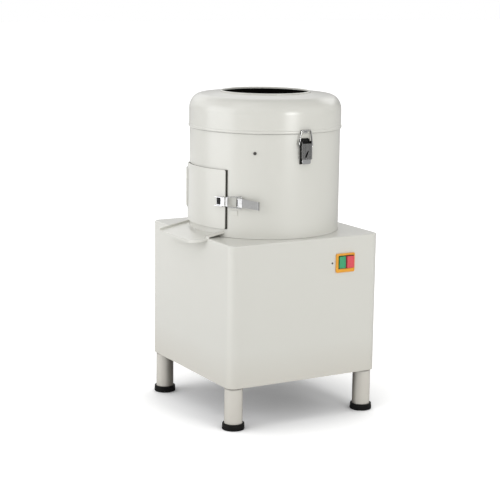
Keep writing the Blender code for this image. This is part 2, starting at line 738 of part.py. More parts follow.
def make_legs():
    bore = LEG_RADIUS + GAP
    rim = FOOT_RADIUS - FOOT_TAPER
    foot = [(0, FOOT_FLOOR), (bore, FOOT_FLOOR), (bore, FOOT_HEIGHT), (rim - FOOT_EDGE, FOOT_HEIGHT),
            (rim, FOOT_HEIGHT - FOOT_EDGE), (FOOT_RADIUS, FOOT_EDGE), (FOOT_RADIUS - FOOT_EDGE, 0), (0, 0)]
    for corner, place in leg_places().items():
        turned("leg_" + corner, band(LEG_RADIUS - LEG_WALL, LEG_RADIUS, FOOT_FLOOR + GAP, UNDER_TOP - GAP),
               machine, paint, centre=place)
        turned("foot_" + corner, foot, machine, black_rubber, centre=place, closed=False)


def make_base_pan():
    inset = CABINET_SHEET + GAP
    outlines = [rounded_outline(2 * (SIDE_X - inset), 2 * (FACE_Y - inset), CABINET_CORNER - inset,
                                steps=CABINET_CORNER_STEPS),
                rounded_outline(PAN_HOLE_WIDTH, PAN_HOLE_DEPTH, PAN_HOLE_CORNER,
                                (0, PAN_HOLE_BACK - PAN_HOLE_DEPTH / 2)),
                circle_outline(DRAIN_RADIUS + DRAIN_CLEARANCE, (DRAIN_PLACE, 0))]
    for place in leg_places().values():
        outlines.append(circle_outline(LEG_RADIUS + GAP, place))
    flat("base_pan", outlines, PAN_BOTTOM, PAN_TOP, machine, zinc)


def make_motor():
    pad_face = MOTOR_RADIUS + MOTOR_PAD_REACH
    ribs_low = MOTOR_BOTTOM + MOTOR_BELL
    ribs_high = MOTOR_TOP - MOTOR_BELL
    pitch = (ribs_high - ribs_low) / (2 * MOTOR_RIBS + 1)
    profile = [(MOTOR_SHAFT_RADIUS + GAP, MOTOR_TOP - MOTOR_BELL), (MOTOR_SHAFT_RADIUS + GAP, MOTOR_TOP),
               (MOTOR_BELL_RADIUS, MOTOR_TOP), (MOTOR_RADIUS, ribs_high)]
    for i in range(MOTOR_RIBS):
        top = ribs_high - (2 * i + 1) * pitch
        profile += [(MOTOR_RADIUS, top), (MOTOR_RADIUS - MOTOR_RIB_DEPTH, top),
                    (MOTOR_RADIUS - MOTOR_RIB_DEPTH, top - pitch), (MOTOR_RADIUS, top - pitch)]
    profile += [(MOTOR_RADIUS, ribs_low), (MOTOR_BELL_RADIUS, MOTOR_BOTTOM), (0, MOTOR_BOTTOM)]
    profile.insert(0, (0, MOTOR_TOP - MOTOR_BELL))
    body = turned("motor_body", profile, machine, motor_paint, centre=(0, MOTOR_DISTANCE), closed=False)
    for name, low in (("lower pad", ribs_low + pitch), ("upper pad", BRACKET_TOP - MOTOR_PAD_HEIGHT - pitch)):
        join(body, box(name, (-MOTOR_PAD_WIDTH / 2, MOTOR_DISTANCE - pad_face, low),
                       (MOTOR_PAD_WIDTH / 2, MOTOR_DISTANCE - MOTOR_RADIUS / 2, low + MOTOR_PAD_HEIGHT),
                       machine))
    plate_back = MOTOR_DISTANCE - pad_face - GAP
    foot_low = PAN_TOP + GAP
    bracket = box("motor_bracket", (-BRACKET_WIDTH / 2, plate_back - BRACKET_THICKNESS, foot_low),
                  (BRACKET_WIDTH / 2, plate_back, BRACKET_TOP), machine, zinc)
    join(bracket, box("bracket foot", (-BRACKET_WIDTH / 2, plate_back - BRACKET_THICKNESS / 2, foot_low),
                      (BRACKET_WIDTH / 2, plate_back + BRACKET_FOOT, foot_low + BRACKET_THICKNESS), machine))
    side = -MOTOR_RADIUS - GAP
    box("motor_terminal_box", (side - TERMINAL_DEPTH, MOTOR_DISTANCE - TERMINAL_WIDTH / 2, TERMINAL_BOTTOM),
        (side, MOTOR_DISTANCE + TERMINAL_WIDTH / 2, TERMINAL_BOTTOM + TERMINAL_HEIGHT), machine, motor_paint,
        edge=BRACKET_THICKNESS / 2)


def pulley_profile(radius, hub_radius, bore, web):
    """Half section of a V-pulley whose groove is at the belt's level."""
    rim = radius - PULLEY_RIM
    half_hub = PULLEY_HUB_LENGTH / 2
    floor = radius - GROOVE_DEPTH
    upper = [(bore, half_hub), (hub_radius, half_hub)]
    if web:
        upper += [(hub_radius, PULLEY_WEB / 2), (rim, PULLEY_WEB / 2), (rim, PULLEY_HALF_WIDTH)]
    else:
        upper += [(hub_radius, PULLEY_HALF_WIDTH)]
    upper += [(radius, PULLEY_HALF_WIDTH), (radius, GROOVE_TOP), (floor, GROOVE_FLOOR)]
    lower = [(r, -z) for r, z in reversed(upper)]
    return [(r, BELT_LEVEL + z) for r, z in upper + lower]


def make_drive():
    turned("drive_pulley", pulley_profile(PULLEY_RADIUS, PULLEY_HUB_RADIUS, SHAFT_RADIUS + GAP, True),
           disc_axis, cast_iron, steps=PULLEY_STEPS)
    profile = pulley_profile(MOTOR_PULLEY_RADIUS, MOTOR_SHAFT_RADIUS * 2, 0, False)
    top = [(0, MOTOR_SHAFT_TOP), (MOTOR_SHAFT_RADIUS, MOTOR_SHAFT_TOP), (MOTOR_SHAFT_RADIUS, profile[0][1])]
    bottom = [(MOTOR_SHAFT_RADIUS, profile[-1][1]), (MOTOR_SHAFT_RADIUS, MOTOR_TOP - MOTOR_BELL + GAP),
              (0, MOTOR_TOP - MOTOR_BELL + GAP)]
    turned("motor_pulley", top + profile[1:-1] + bottom, motor_axis, cast_iron,
           centre=(0, MOTOR_DISTANCE), closed=False)
    flat("drive_belt", [belt_outline(BELT_THICKNESS), belt_outline(0)], BELT_LEVEL - BELT_HALF_WIDTH,
         BELT_LEVEL + BELT_HALF_WIDTH, machine, black_rubber)


def belt_outline(out, steps=BELT_STEPS):
    """The belt's path round both pulleys, out from its inner side."""
    inner = BELT_CLEARANCE - GROOVE_DEPTH + out
    large = PULLEY_RADIUS + inner
    small = MOTOR_PULLEY_RADIUS + inner
    lean = asin((large - small) / MOTOR_DISTANCE)
    points = []
    for i in range(steps + 1):
        a = lean - (pi + 2 * lean) * i / steps
        points.append((large * cos(a), large * sin(a)))
    for i in range(steps + 1):
        a = pi - lean - (pi - 2 * lean) * i / steps
        points.append((small * cos(a), MOTOR_DISTANCE + small * sin(a)))
    return points


def make_bearings():
    top = UNDER_TOP - GAP
    bore = BEARING_RADIUS + GAP
    turned("bearing_housing",
           [(bore, HOUSING_BOTTOM), (HOUSING_RADIUS, HOUSING_BOTTOM), (HOUSING_RADIUS, top - HOUSING_FLANGE),
            (HOUSING_FLANGE_RADIUS, top - HOUSING_FLANGE), (HOUSING_FLANGE_RADIUS, top), (bore, top)],
           machine, cast_iron, steps=HOUSING_STEPS)
    inner = SHAFT_RADIUS + GAP
    third = (BEARING_RADIUS - inner) / 3
    for name, low in (("bearing_upper", top - BEARING_INSET - BEARING_WIDTH),
                      ("bearing_lower", HOUSING_BOTTOM + BEARING_INSET)):
        high = low + BEARING_WIDTH
        turned(name, [(inner, low), (BEARING_RADIUS, low), (BEARING_RADIUS, high),
                      (BEARING_RADIUS - third, high), (BEARING_RADIUS - third, high - BEARING_GROOVE),
                      (inner + third, high - BEARING_GROOVE), (inner + third, high), (inner, high)],
               machine, steel)
    seat = DRUM_BOTTOM + SEAL_SEAT
    turned("shaft_seal", band(inner, SEAL_RADIUS, seat + GAP, seat + GAP + SEAL_HEIGHT), machine,
           black_rubber)
    turned("drive_shaft", [(0, SHAFT_BOTTOM), (SHAFT_RADIUS, SHAFT_BOTTOM), (SHAFT_RADIUS, SHAFT_TOP),
                           (0, SHAFT_TOP)],
           disc_axis, steel, closed=False)


def make_drum_floor():
    low = DRUM_BOTTOM
    edge = DRUM_RADIUS - DRUM_WALL - GAP
    seat = SEAL_RADIUS + GAP
    floor = turned("drum_floor",
                   [(HUB_BORE, low), (edge, low), (edge, low + FLOOR_THICKNESS),
                    (HUB_RADIUS, low + FLOOR_THICKNESS),
                    (HUB_RADIUS, low + HUB_HEIGHT), (seat, low + HUB_HEIGHT), (seat, low + SEAL_SEAT),
                    (HUB_BORE, low + SEAL_SEAT)], machine, paint, steps=ROUND_STEPS)
    cut(floor, rod("floor drain hole", DRAIN_RADIUS + GAP, (DRAIN_PLACE, 0, low - OVERRUN),
                   (DRAIN_PLACE, 0, low + FLOOR_THICKNESS + OVERRUN), machine, steps=PIPE_STEPS))
    bore = DRAIN_RADIUS - DRAIN_WALL
    rest = low + FLOOR_THICKNESS + GAP
    turned("drain_pipe", [(bore, DRAIN_BOTTOM), (DRAIN_RADIUS, DRAIN_BOTTOM), (DRAIN_RADIUS, rest),
                          (DRAIN_FLANGE, rest), (DRAIN_FLANGE, rest + DRAIN_FLANGE_THICKNESS),
                          (bore, rest + DRAIN_FLANGE_THICKNESS)], machine, zinc, centre=(DRAIN_PLACE, 0))


def inlet_rod(name, radius, near, far, on, made_of=None):
    """A round bar that points out of the drum's right side at the water inlet's height."""
    return rod(name, radius, (near, 0, INLET_HEIGHT), (far, 0, INLET_HEIGHT), on, made_of)


def make_drum():
    opening = band(DRUM_RADIUS - DRUM_WALL - LINER_THICKNESS - OVERRUN, DRUM_RADIUS + OVERRUN,
                   OPENING_BOTTOM, OPENING_TOP)
    shell = turned("drum_shell", band(DRUM_RADIUS - DRUM_WALL, DRUM_RADIUS, DRUM_BOTTOM, DRUM_TOP),
                   machine, paint, steps=ROUND_STEPS)
    inner = DRUM_RADIUS - DRUM_WALL - GAP - LINER_THICKNESS
    liner = turned("abrasive_liner", band(inner, DRUM_RADIUS - DRUM_WALL - GAP, LINER_BOTTOM, LINER_TOP),
                   machine, abrasive, steps=ROUND_STEPS)
    door_hole = sector("door opening", opening, OPENING_START, OPENING_END, machine)
    inlet_hole = inlet_rod("inlet hole", INLET_RADIUS + GAP, inner - OVERRUN, DRUM_RADIUS + OVERRUN, machine)
    tab = band(DRUM_RADIUS - DRUM_WALL / 2, DRUM_RADIUS + STOP_TAB_OUT,
               STOP_TAB_BOTTOM, STOP_TAB_BOTTOM + STOP_TAB_HEIGHT)
    join(shell, sector("stop tab", tab, STOP_TAB_START, STOP_TAB_END, machine, steps=2))
    cut(shell, door_hole, inlet_hole)
    cut(liner, door_hole, inlet_hole)
    face = DRUM_RADIUS + GAP + INLET_BARB
    inlet = inlet_rod("water_inlet", INLET_RADIUS, inner + GAP, face + INLET_LENGTH, machine, zinc)
    join(inlet, inlet_rod("inlet flange", INLET_FLANGE, face, face + INLET_FLANGE_THICKNESS, machine),
         inlet_rod("inlet barb", INLET_RADIUS + INLET_BARB, face + INLET_LENGTH / 2,
                   face + INLET_LENGTH / 2 + INLET_FLANGE_THICKNESS, machine))
    cut(inlet, inlet_rod("inlet bore", INLET_BORE, inner - OVERRUN, face + INLET_LENGTH + OVERRUN, machine))
    out = Vector((cos(DRUM_BOLT_ANGLE), sin(DRUM_BOLT_ANGLE), 0))
    up = Vector((0, 0, DRUM_TOP - DRUM_BOLT_DROP))
    near = DRUM_RADIUS + GAP
    rod("drum_bolt", DRUM_BOLT_RADIUS, out * near + up, out * (near + DRUM_BOLT_HEAD) + up, machine,
        cast_iron, 6)


def make_disc():
    """The peeling disc: waves on top, two paddles below that sweep the peel to the drain."""
    bore = SHAFT_RADIUS + GAP
    top = DISC_TOP
    flat_top = [(DISC_RADIUS + (DISC_HUB_RADIUS - DISC_RADIUS) * i / DISC_RINGS, top)
                for i in range(DISC_RINGS + 1)]
    profile = [(bore, top), (bore, DISC_BOTTOM - DISC_HUB_DROP),
               (DISC_HUB_RADIUS, DISC_BOTTOM - DISC_HUB_DROP),
               (DISC_HUB_RADIUS, DISC_BOTTOM), (DISC_RADIUS, DISC_BOTTOM)] + flat_top
    bm = bmesh.new()
    corners = [bm.verts.new((r, 0, z)) for r, z in profile]
    edges = [bm.edges.new((a, b)) for a, b in zip(corners, corners[1:] + corners[:1])]
    bmesh.ops.spin(bm, geom=corners + edges, cent=(0, 0, 0), axis=(0, 0, 1), angle=2 * pi, steps=DISC_STEPS,
                   use_merge=True)
    bmesh.ops.remove_doubles(bm, verts=bm.verts, dist=WELD_DISTANCE)
    for v in bm.verts:
        radius = hypot(v.co.x, v.co.y)
        if v.co.z > top - GAP and radius > DISC_HUB_RADIUS + GAP:
            reach = (radius - DISC_HUB_RADIUS) / (DISC_RADIUS - DISC_HUB_RADIUS)
            wave = (1 + cos(WAVE_COUNT * atan2(v.co.y, v.co.x))) / 2
            v.co.z += WAVE_HEIGHT * wave * sin(reach * pi * WAVE_REACH_SHARE)
    disc = solid("abrasive_disc", bm, disc_axis, abrasive)
    for name, side in (("first paddle", 1), ("second paddle", -1)):
        low = min(side * PADDLE_INNER, side * PADDLE_OUTER)
        high = max(side * PADDLE_INNER, side * PADDLE_OUTER)
        join(disc, box(name, (-PADDLE_THICKNESS / 2, low, PADDLE_BOTTOM),
                       (PADDLE_THICKNESS / 2, high, DISC_TOP - DISC_THICKNESS / 2), disc_axis))
    rest = top + GAP
    dome = [(NUT_RADIUS, rest), (NUT_RADIUS, rest + NUT_HEIGHT - NUT_DOME)]
    dome += [(NUT_RADIUS * cos(a), rest + NUT_HEIGHT - NUT_DOME + NUT_DOME * sin(a))
             for a in (radians(25), radians(50), radians(75))]
    turned("disc_cap_nut", [(0, SHAFT_TOP + GAP), (bore, SHAFT_TOP + GAP), (bore, rest)] + dome
           + [(0, rest + NUT_HEIGHT)], disc_axis, steel, closed=False)


def make_lid():
    shoulder = LID_RADIUS - SHOULDER_WIDTH
    crown_edge = LID_CROWN - LID_CROWN_DROP
    opening = FEED_RADIUS + 2 * FEED_BEAD + GAP
    profile = [(opening, LID_CROWN - LID_CROWN_DROP * (opening - FEED_RADIUS) / (shoulder - FEED_RADIUS))]
    for i in range(SHOULDER_STEPS + 1):
        a = pi / 2 * i / SHOULDER_STEPS
        profile.append((shoulder + SHOULDER_WIDTH * sin(a), crown_edge - SHOULDER_HEIGHT * (1 - cos(a))))
    bead_top = LID_BOTTOM + LID_BEAD_HEIGHT
    profile += [(LID_RADIUS, bead_top), (LID_RADIUS + LID_BEAD,
                                         LID_BOTTOM + LID_BEAD_HEIGHT * LID_BEAD_HIGH_SHARE),
                (LID_RADIUS + LID_BEAD, LID_BOTTOM + LID_BEAD_HEIGHT * LID_BEAD_LOW_SHARE),
                (LID_RADIUS, LID_BOTTOM)]
    mesh = bpy.data.meshes.new("lid")
    mesh.from_pydata([(r, 0, z) for r, z in profile], [(i, i + 1) for i in range(len(profile) - 1)], [])
    lid = bpy.data.objects.new("lid", mesh)
    turn = lid.modifiers.new("turn", "SCREW")
    turn.steps = ROUND_STEPS
    turn.render_steps = ROUND_STEPS
    turn.use_merge_vertices = True
    turn.merge_threshold = WELD_DISTANCE
    wall = lid.modifiers.new("sheet", "SOLIDIFY")
    wall.thickness = LID_SHEET
    wall.offset = -1
    wall.use_even_offset = True
    set_down(lid, lid_axis, paint)

    centre = FEED_RADIUS + FEED_BEAD
    ring = [(FEED_RADIUS + FEED_WALL, LID_CROWN - FEED_DROP), (FEED_RADIUS, LID_CROWN - FEED_DROP)]
    for i in range(FEED_BEAD_STEPS + 1):
        a = pi - FEED_BEAD_TURN * i / FEED_BEAD_STEPS
        ring.append((centre + FEED_BEAD * cos(a), LID_CROWN + FEED_BEAD * sin(a)))
    ring.append((FEED_RADIUS + FEED_WALL, LID_CROWN - FEED_BEAD))
    turned("feed_ring", ring, lid_axis, paint, steps=ROUND_STEPS)

    low = DRUM_TOP + GAP
    edge = LID_RADIUS - SEAL_INSET
    inner = DRUM_RADIUS - DRUM_WALL - GAP - SEAL_LIP
    turned("lid_seal", [(inner, low - SEAL_LIP_DROP), (inner + SEAL_LIP, low - SEAL_LIP_DROP),
                        (inner + SEAL_LIP, low),
                        (edge, low), (edge, low + SEAL_THICKNESS), (inner, low + SEAL_THICKNESS)],
           machine, black_rubber, steps=ROUND_STEPS)


def make_door():
    face_in = DRUM_RADIUS + GAP
    seal_out = face_in + DOOR_SEAL_THICKNESS
    panel_in = seal_out + GAP
    panel_out = panel_in + DOOR_THICKNESS
    sector("door_panel", band(panel_in, panel_out, DOOR_BOTTOM, DOOR_TOP), DOOR_START, DOOR_END, door_axis,
           paint)
    seal = sector("door_seal", band(face_in, seal_out, DOOR_BOTTOM + GAP, DOOR_TOP - GAP),
                  DOOR_START + LEAF_THICKNESS / DRUM_RADIUS, DOOR_END + DOOR_SEAL_SHOW / DRUM_RADIUS,
                  door_axis, black_rubber)
    cut(seal, sector("seal window", band(face_in - OVERRUN, seal_out + OVERRUN, OPENING_BOTTOM, OPENING_TOP),
                     OPENING_START, OPENING_END, door_axis))
    turn = LINING_INSET / DRUM_RADIUS
    sector("door_lining", band(face_in, seal_out, OPENING_BOTTOM + LINING_INSET, OPENING_TOP - LINING_INSET),
           OPENING_START + turn, OPENING_END - turn, door_axis, abrasive)
    return panel_out


def make_hinge(panel_out):
    """A leaf on the drum with two knuckles, and a leaf on the door with the one between them."""
    low = HINGE_BOTTOM + HINGE_LENGTH * (1 - KNUCKLE_SHARE) / 2
    high = HINGE_TOP - HINGE_LENGTH * (1 - KNUCKLE_SHARE) / 2
    centre = (HINGE_RADIUS * cos(HINGE_ANGLE), HINGE_RADIUS * sin(HINGE_ANGLE))
    near = LEAF_NEAR / DRUM_RADIUS
    wide = LEAF_WIDTH / DRUM_RADIUS
    reach = KNUCKLE_RADIUS * KNUCKLE_STRAP_SHARE / DRUM_RADIUS
    fixed = band(DRUM_RADIUS + GAP, DRUM_RADIUS + GAP + LEAF_THICKNESS, HINGE_BOTTOM, HINGE_TOP)
    leaf = sector("hinge_drum_leaf", fixed, HINGE_ANGLE - wide, HINGE_ANGLE - near, machine, paint,
                  LEAF_STEPS)
    for name, z0, z1 in (("lower knuckle", HINGE_BOTTOM, low - GAP),
                         ("upper knuckle", high + GAP, HINGE_TOP)):
        strap = band(DRUM_RADIUS + GAP, DRUM_RADIUS + GAP + LEAF_THICKNESS, z0, z1)
        join(leaf, sector(name + " strap", strap, HINGE_ANGLE - near - reach, HINGE_ANGLE - reach / 3,
                          machine, steps=2),
             turned(name, [(0, z0), (KNUCKLE_RADIUS, z0), (KNUCKLE_RADIUS, z1), (0, z1)], machine,
                    centre=centre, steps=PIN_STEPS, closed=False))
    bore = rod("drum leaf bore", KNUCKLE_BORE, (*centre, HINGE_BOTTOM - OVERRUN),
               (*centre, HINGE_TOP + OVERRUN), machine)
    cut(leaf, bore)

    out = panel_out + GAP
    moving = band(out, out + LEAF_THICKNESS, HINGE_BOTTOM, HINGE_TOP)
    door_leaf = sector("hinge_door_leaf", moving, HINGE_ANGLE + near, HINGE_ANGLE + wide, door_axis, paint,
                       LEAF_STEPS)
    strap = band(out, out + LEAF_THICKNESS, low, high)
    join(door_leaf, sector("door strap", strap, HINGE_ANGLE + reach / 3, HINGE_ANGLE + near + reach,
                           door_axis, steps=2),
         turned("middle knuckle", [(0, low), (KNUCKLE_RADIUS, low), (KNUCKLE_RADIUS, high), (0, high)],
                door_axis,
                centre=centre, steps=PIN_STEPS, closed=False))
    cut(door_leaf, rod("door leaf bore", KNUCKLE_BORE, (*centre, low - OVERRUN), (*centre, high + OVERRUN),
                       door_axis))
    rod("hinge_pin", HINGE_PIN_RADIUS, (*centre, HINGE_BOTTOM - HINGE_PIN_END),
        (*centre, HINGE_TOP + HINGE_PIN_END),
        machine, zinc)


def make_catch(panel_out):
    """The door's half of its latch: a channel with two ears, and a lip that reaches over the free edge."""
    low = DOOR_LATCH_HEIGHT - CATCH_HALF_HEIGHT
    high = DOOR_LATCH_HEIGHT + CATCH_HALF_HEIGHT
    near = panel_out + GAP
    face = near + CATCH_PLATE
    tip = near + CATCH_EAR_OUT
    lower = low + CATCH_EAR_THICKNESS
    upper = high - CATCH_EAR_THICKNESS
    catch = sector("door_catch", [(near, low), (tip, low), (tip, lower), (face, lower), (face, upper),
                                  (tip, upper),
                                  (tip, high), (near, high)], CATCH_START, CATCH_END, door_axis, chrome, 6)
    lip = near + CATCH_LIP_OUT
    overlap = CATCH_EAR_THICKNESS / 2
    join(catch, sector("catch lip", band(lip, lip + CATCH_PLATE, lower - overlap, upper + overlap),
                       CATCH_LIP_START, CATCH_LIP_END, door_axis, steps=3))


def drop_of_chute(point):
    """How far the sloping chute lies above its level at the cabinet's side."""
    return CHUTE_SLOPE * (SIDE_X + point.x)


def make_chute():
    low = CABINET_TOP + CHUTE_LIFT
    half = CHUTE_WIDTH / 2
    top = low + CHUTE_WALL_HEIGHT
    floor = low + CHUTE_SHEET
    inner = half - CHUTE_SHEET
    section = [(-half, low), (half, low), (half, top), (inner, top), (inner, floor), (-inner, floor),
               (-inner, top), (-half, top)]
    start = DRUM_RADIUS * cos(asin(half / DRUM_RADIUS)) - CHUTE_ROOT
    tray = flat("chute", [section], -CHUTE_REACH, -start, machine, paint, CROSSWAYS, drop_of_chute)
    lip = box("chute lip", (-CHUTE_REACH, -half, low - CHUTE_LIP + CHUTE_SHEET),
              (-CHUTE_REACH + CHUTE_SHEET, half, floor - CHUTE_SHEET / 4), machine)
    for v in lip.data.vertices:
        v.co.z += drop_of_chute(v.co)
    join(tray, lip)
    cut(tray, turned("drum clearance", [(0, CABINET_BOTTOM), (DRUM_RADIUS + GAP, CABINET_BOTTOM),
                                        (DRUM_RADIUS + GAP, DRUM_TOP), (0, DRUM_TOP)],
                     machine, steps=ROUND_STEPS, closed=False))


def latch_frame(name, angle, height):
    """Coordinates of a latch lying on the drum: X across, Y towards the hook, Z outwards."""
    out = Vector((cos(angle), sin(angle), 0))
    if height == DOOR_LATCH_HEIGHT:
        towards = Vector((sin(angle), -cos(angle), 0))
    else:
        towards = Vector((0, 0, 1))
    across = towards.cross(out)
    turn = Matrix((across, towards, out)).transposed()
    return holder(name, out * DRUM_RADIUS + Vector((0, 0, height)), machine, turn)


def cheek_plates(name, outlines, inner, outer, on, made_of=None):
    """A pair of upright plates, drawn from the side and standing on both sides of the middle."""
    return [flat(name + mark, outlines, min(side * inner, side * outer), max(side * inner, side * outer),
                 on, made_of, CROSSWAYS) for mark, side in ((" left", -1), (" right", 1))]


def arc(centre, radius, start, end, steps=6):
    return [(centre[0] + radius * cos(start + (end - start) * i / steps),
             centre[1] + radius * sin(start + (end - start) * i / steps)) for i in range(steps + 1)]


def make_latch(name, where, sizes, loop_name):
    half = sizes["half_width"]
    base_end = -sizes["base_length"]
    lever_end = -sizes["lever_length"]
    axis = LATCH_AXIS_OUT
    pivot = holder(name + " lever axis", (0, 0, axis), where)
    bail_y = -sizes["bail_back"]
    bail_z = axis - BAIL_AXIS_DROP
    bail_pivot = holder(name + " bail axis", (0, bail_y, bail_z), pivot)
    cheek = half + GAP
    outside = cheek + LEVER_PLATE

    ear = [(base_end, GAP), (LATCH_EAR_RADIUS, GAP)] + arc((0, axis), LATCH_EAR_RADIUS, 0, pi)
    ear += [(-LATCH_EAR_RADIUS, LATCH_RAIL), (base_end, LATCH_RAIL)]
    within = half - LATCH_EAR / 2
    base = box(name + "_base", (-within, base_end + SEAM, GAP + SEAM),
               (within, LATCH_EAR_RADIUS - SEAM, GAP + LATCH_PLATE), where, chrome)
    join(base, *cheek_plates(name + " ear", [ear], half - LATCH_EAR, half, where),
         rod(name + " pivot", LATCH_PIN_RADIUS, (-outside - GAP, 0, axis), (outside + GAP, 0, axis), where))

    face_low = axis + LEVER_FACE_OUT
    face_high = face_low + LEVER_PLATE
    side = [(lever_end, axis - LEVER_CHEEK_RADIUS)] + arc((0, axis), LEVER_CHEEK_RADIUS, -pi / 2, pi / 2)
    side += [(-LEVER_SETBACK, face_high), (lever_end, face_high)]
    holes = [circle_outline(LATCH_HOLE_RADIUS, (0, axis), PIN_STEPS),
             circle_outline(LATCH_HOLE_RADIUS, (bail_y, bail_z), PIN_STEPS)]
    within = cheek + LEVER_PLATE / 2
    lever = box(name + "_lever", (-within, lever_end + SEAM, face_low),
                (within, -LEVER_SETBACK, face_high - SEAM),
                pivot, chrome)
    join(lever, *cheek_plates(name + " cheek", [side] + holes, cheek, outside, pivot))
    if sizes["handle"]:
        end = -sizes["handle"]
        root = lever_end + LEVER_PLATE * 2
        arm = box(name + " arm", (-within, end, face_low + SEAM), (within, root, face_high - 2 * SEAM), pivot)
        curl = rod(name + " curl", HANDLE_CURL, (-within + SEAM, end, face_high),
                   (within - SEAM, end, face_high), pivot)
        for piece in (arm, curl):
            for v in piece.data.vertices:
                v.co.x += (v.co.y - root) * sin(sizes["droop"]) / cos(sizes["droop"])
        join(lever, arm, curl)
    else:
        join(lever, box(name + " finger lip", (-half, lever_end - LEVER_PLATE / 2, face_low + SEAM),
                        (half, lever_end + LEVER_PLATE / 2, face_high + LATCH_LIP), pivot))

    waist = sizes["bail_waist"]
    reach = sizes["bail_reach"]
    right = [(cheek + LEVER_PLATE / 3, bail_y, bail_z), (waist, bail_y, bail_z),
             (waist, bail_y + sizes["bail_knee"], BAIL_REST_OUT), (sizes["bail_end"], reach, BAIL_REST_OUT)]
    left = [(-x, y, z) for x, y, z in reversed(right)]
    wire(name + "_" + loop_name, round_path(right + left, WIRE_RADIUS * WIRE_BEND_SHARE, WIRE_BEND_STEPS),
         WIRE_RADIUS, bail_pivot, chrome)


def make_latches():
    for name, angle in (("front_latch", radians(-90)), ("rear_latch", radians(90))):
        where = latch_frame(name + " place", angle, DRUM_TOP - LID_LATCH_DROP)
        make_latch(name, where, LID_LATCH, "bail")
        near = LID_RADIUS + LID_BEAD + GAP
        side = sin(angle)
        low = min(side * near, side * (near + KEEPER_THICKNESS))
        high = max(side * near, side * (near + KEEPER_THICKNESS))
        box(name.replace("latch", "keeper"), (-KEEPER_HALF_WIDTH, low, LID_BOTTOM + KEEPER_RISE),
            (KEEPER_HALF_WIDTH, high, LID_BOTTOM + KEEPER_RISE + KEEPER_HEIGHT), lid_axis, chrome)
    where = latch_frame("door_latch place", DOOR_LATCH_ANGLE, DOOR_LATCH_HEIGHT)
    make_latch("door_latch", where, DOOR_LATCH, "loop")


def make_switch():
    window_x = SWITCH_X + WINDOW_SHIFT
    window_z = SWITCH_Z + WINDOW_RAISE
    front = FACE_Y + GAP
    flat("switch_surround",
         [rounded_outline(SURROUND_WIDTH, SURROUND_HEIGHT, SURROUND_CORNER, (SWITCH_X, SWITCH_Z)),
          rounded_outline(WINDOW_WIDTH, WINDOW_HEIGHT, SURROUND_CORNER / 2, (window_x, window_z))],
         front, front + SURROUND_THICKNESS, machine, surround_plastic, FACE_UP)
    left = window_x - WINDOW_WIDTH / 2 + GAP * 2
    right = window_x + WINDOW_WIDTH / 2 - GAP * 2
    half = WINDOW_HEIGHT / 2 - GAP * 2
    block = box("switch_block", (left, -FACE_Y - BLOCK_FRONT, window_z - half),
                (right, -FACE_Y + BLOCK_BACK, window_z + half), machine, dark_plastic)
    edge = (right - left - START_WIDTH - STOP_WIDTH - BUTTON_SPACE) / 2
    start_x = left + edge + START_WIDTH / 2
    stop_x = right - edge - STOP_WIDTH / 2
    floor = -FACE_Y - BLOCK_FRONT + WELL_DEPTH
    back = floor - BUTTON_TRAVEL - GAP
    for name, x, width, out, colour in (("start_button", start_x, START_WIDTH, START_OUT, green_plastic),
                                        ("stop_button", stop_x, STOP_WIDTH, STOP_OUT, red_plastic)):
        cut(block, box(name + " well",
                       (x - width / 2 - SLIDE_GAP, -FACE_Y - BLOCK_FRONT - OVERRUN,
                        window_z - BUTTON_HEIGHT / 2 - SLIDE_GAP),
                       (x + width / 2 + SLIDE_GAP, floor, window_z + BUTTON_HEIGHT / 2 + SLIDE_GAP), machine))
        slide = holder(name + " slide", (x, -FACE_Y, window_z), machine)
        box(name, (x - width / 2, -FACE_Y - out, window_z - BUTTON_HEIGHT / 2),
            (x + width / 2, back, window_z + BUTTON_HEIGHT / 2), slide, colour, edge=BUTTON_EDGE)
    screw_x = SWITCH_X - SWITCH_SCREW_LEFT
    screw_z = SWITCH_Z + SWITCH_SCREW_RAISE
    rod("switch_screw", SWITCH_SCREW_RADIUS, (screw_x, -front, screw_z),
        (screw_x, -front - SWITCH_SCREW_HEAD, screw_z),
        machine, cast_iron)


def make_gland():
    """A gland in the back wall, with its bore along the cable's way."""
    def part(name, radius, near, far, made_of=None, steps=PIN_STEPS):
        return rod(name, radius, (GLAND_PLACE, near, GLAND_HEIGHT), (GLAND_PLACE, far, GLAND_HEIGHT),
                   machine, made_of, steps)
    wall_in = FACE_Y - CABINET_SHEET
    out = FACE_Y + GAP
    gland = part("cable_gland", GLAND_THREAD, wall_in - GLAND_INSIDE, FACE_Y + GLAND_REACH, dark_plastic)
    join(gland, part("gland collar", GLAND_RADIUS, out, out + GLAND_COLLAR, steps=6),
         part("gland nut", GLAND_RADIUS, wall_in - GAP - GLAND_COLLAR / 2, wall_in - GAP, steps=6))
    cut(gland, part("gland bore", GLAND_BORE, wall_in - GLAND_INSIDE - OVERRUN,
                    FACE_Y + GLAND_REACH + OVERRUN))


make_cabinet()
make_rear_cover()
make_legs()
make_base_pan()
make_motor()
make_drive()
make_bearings()
make_drum_floor()
make_drum()
make_disc()
make_lid()
door_face = make_door()
make_hinge(door_face)
make_catch(door_face)
make_chute()
make_latches()
make_switch()
make_gland()

for piece in pieces.objects:
    if piece.type == "MESH":
        normals = piece.modifiers.new("face weighted normals", "WEIGHTED_NORMAL")
        normals.keep_sharp = True
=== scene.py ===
import json
from math import atan2, cos, hypot, pi, radians, sin

import bmesh
import bpy
from mathutils import Matrix, Vector

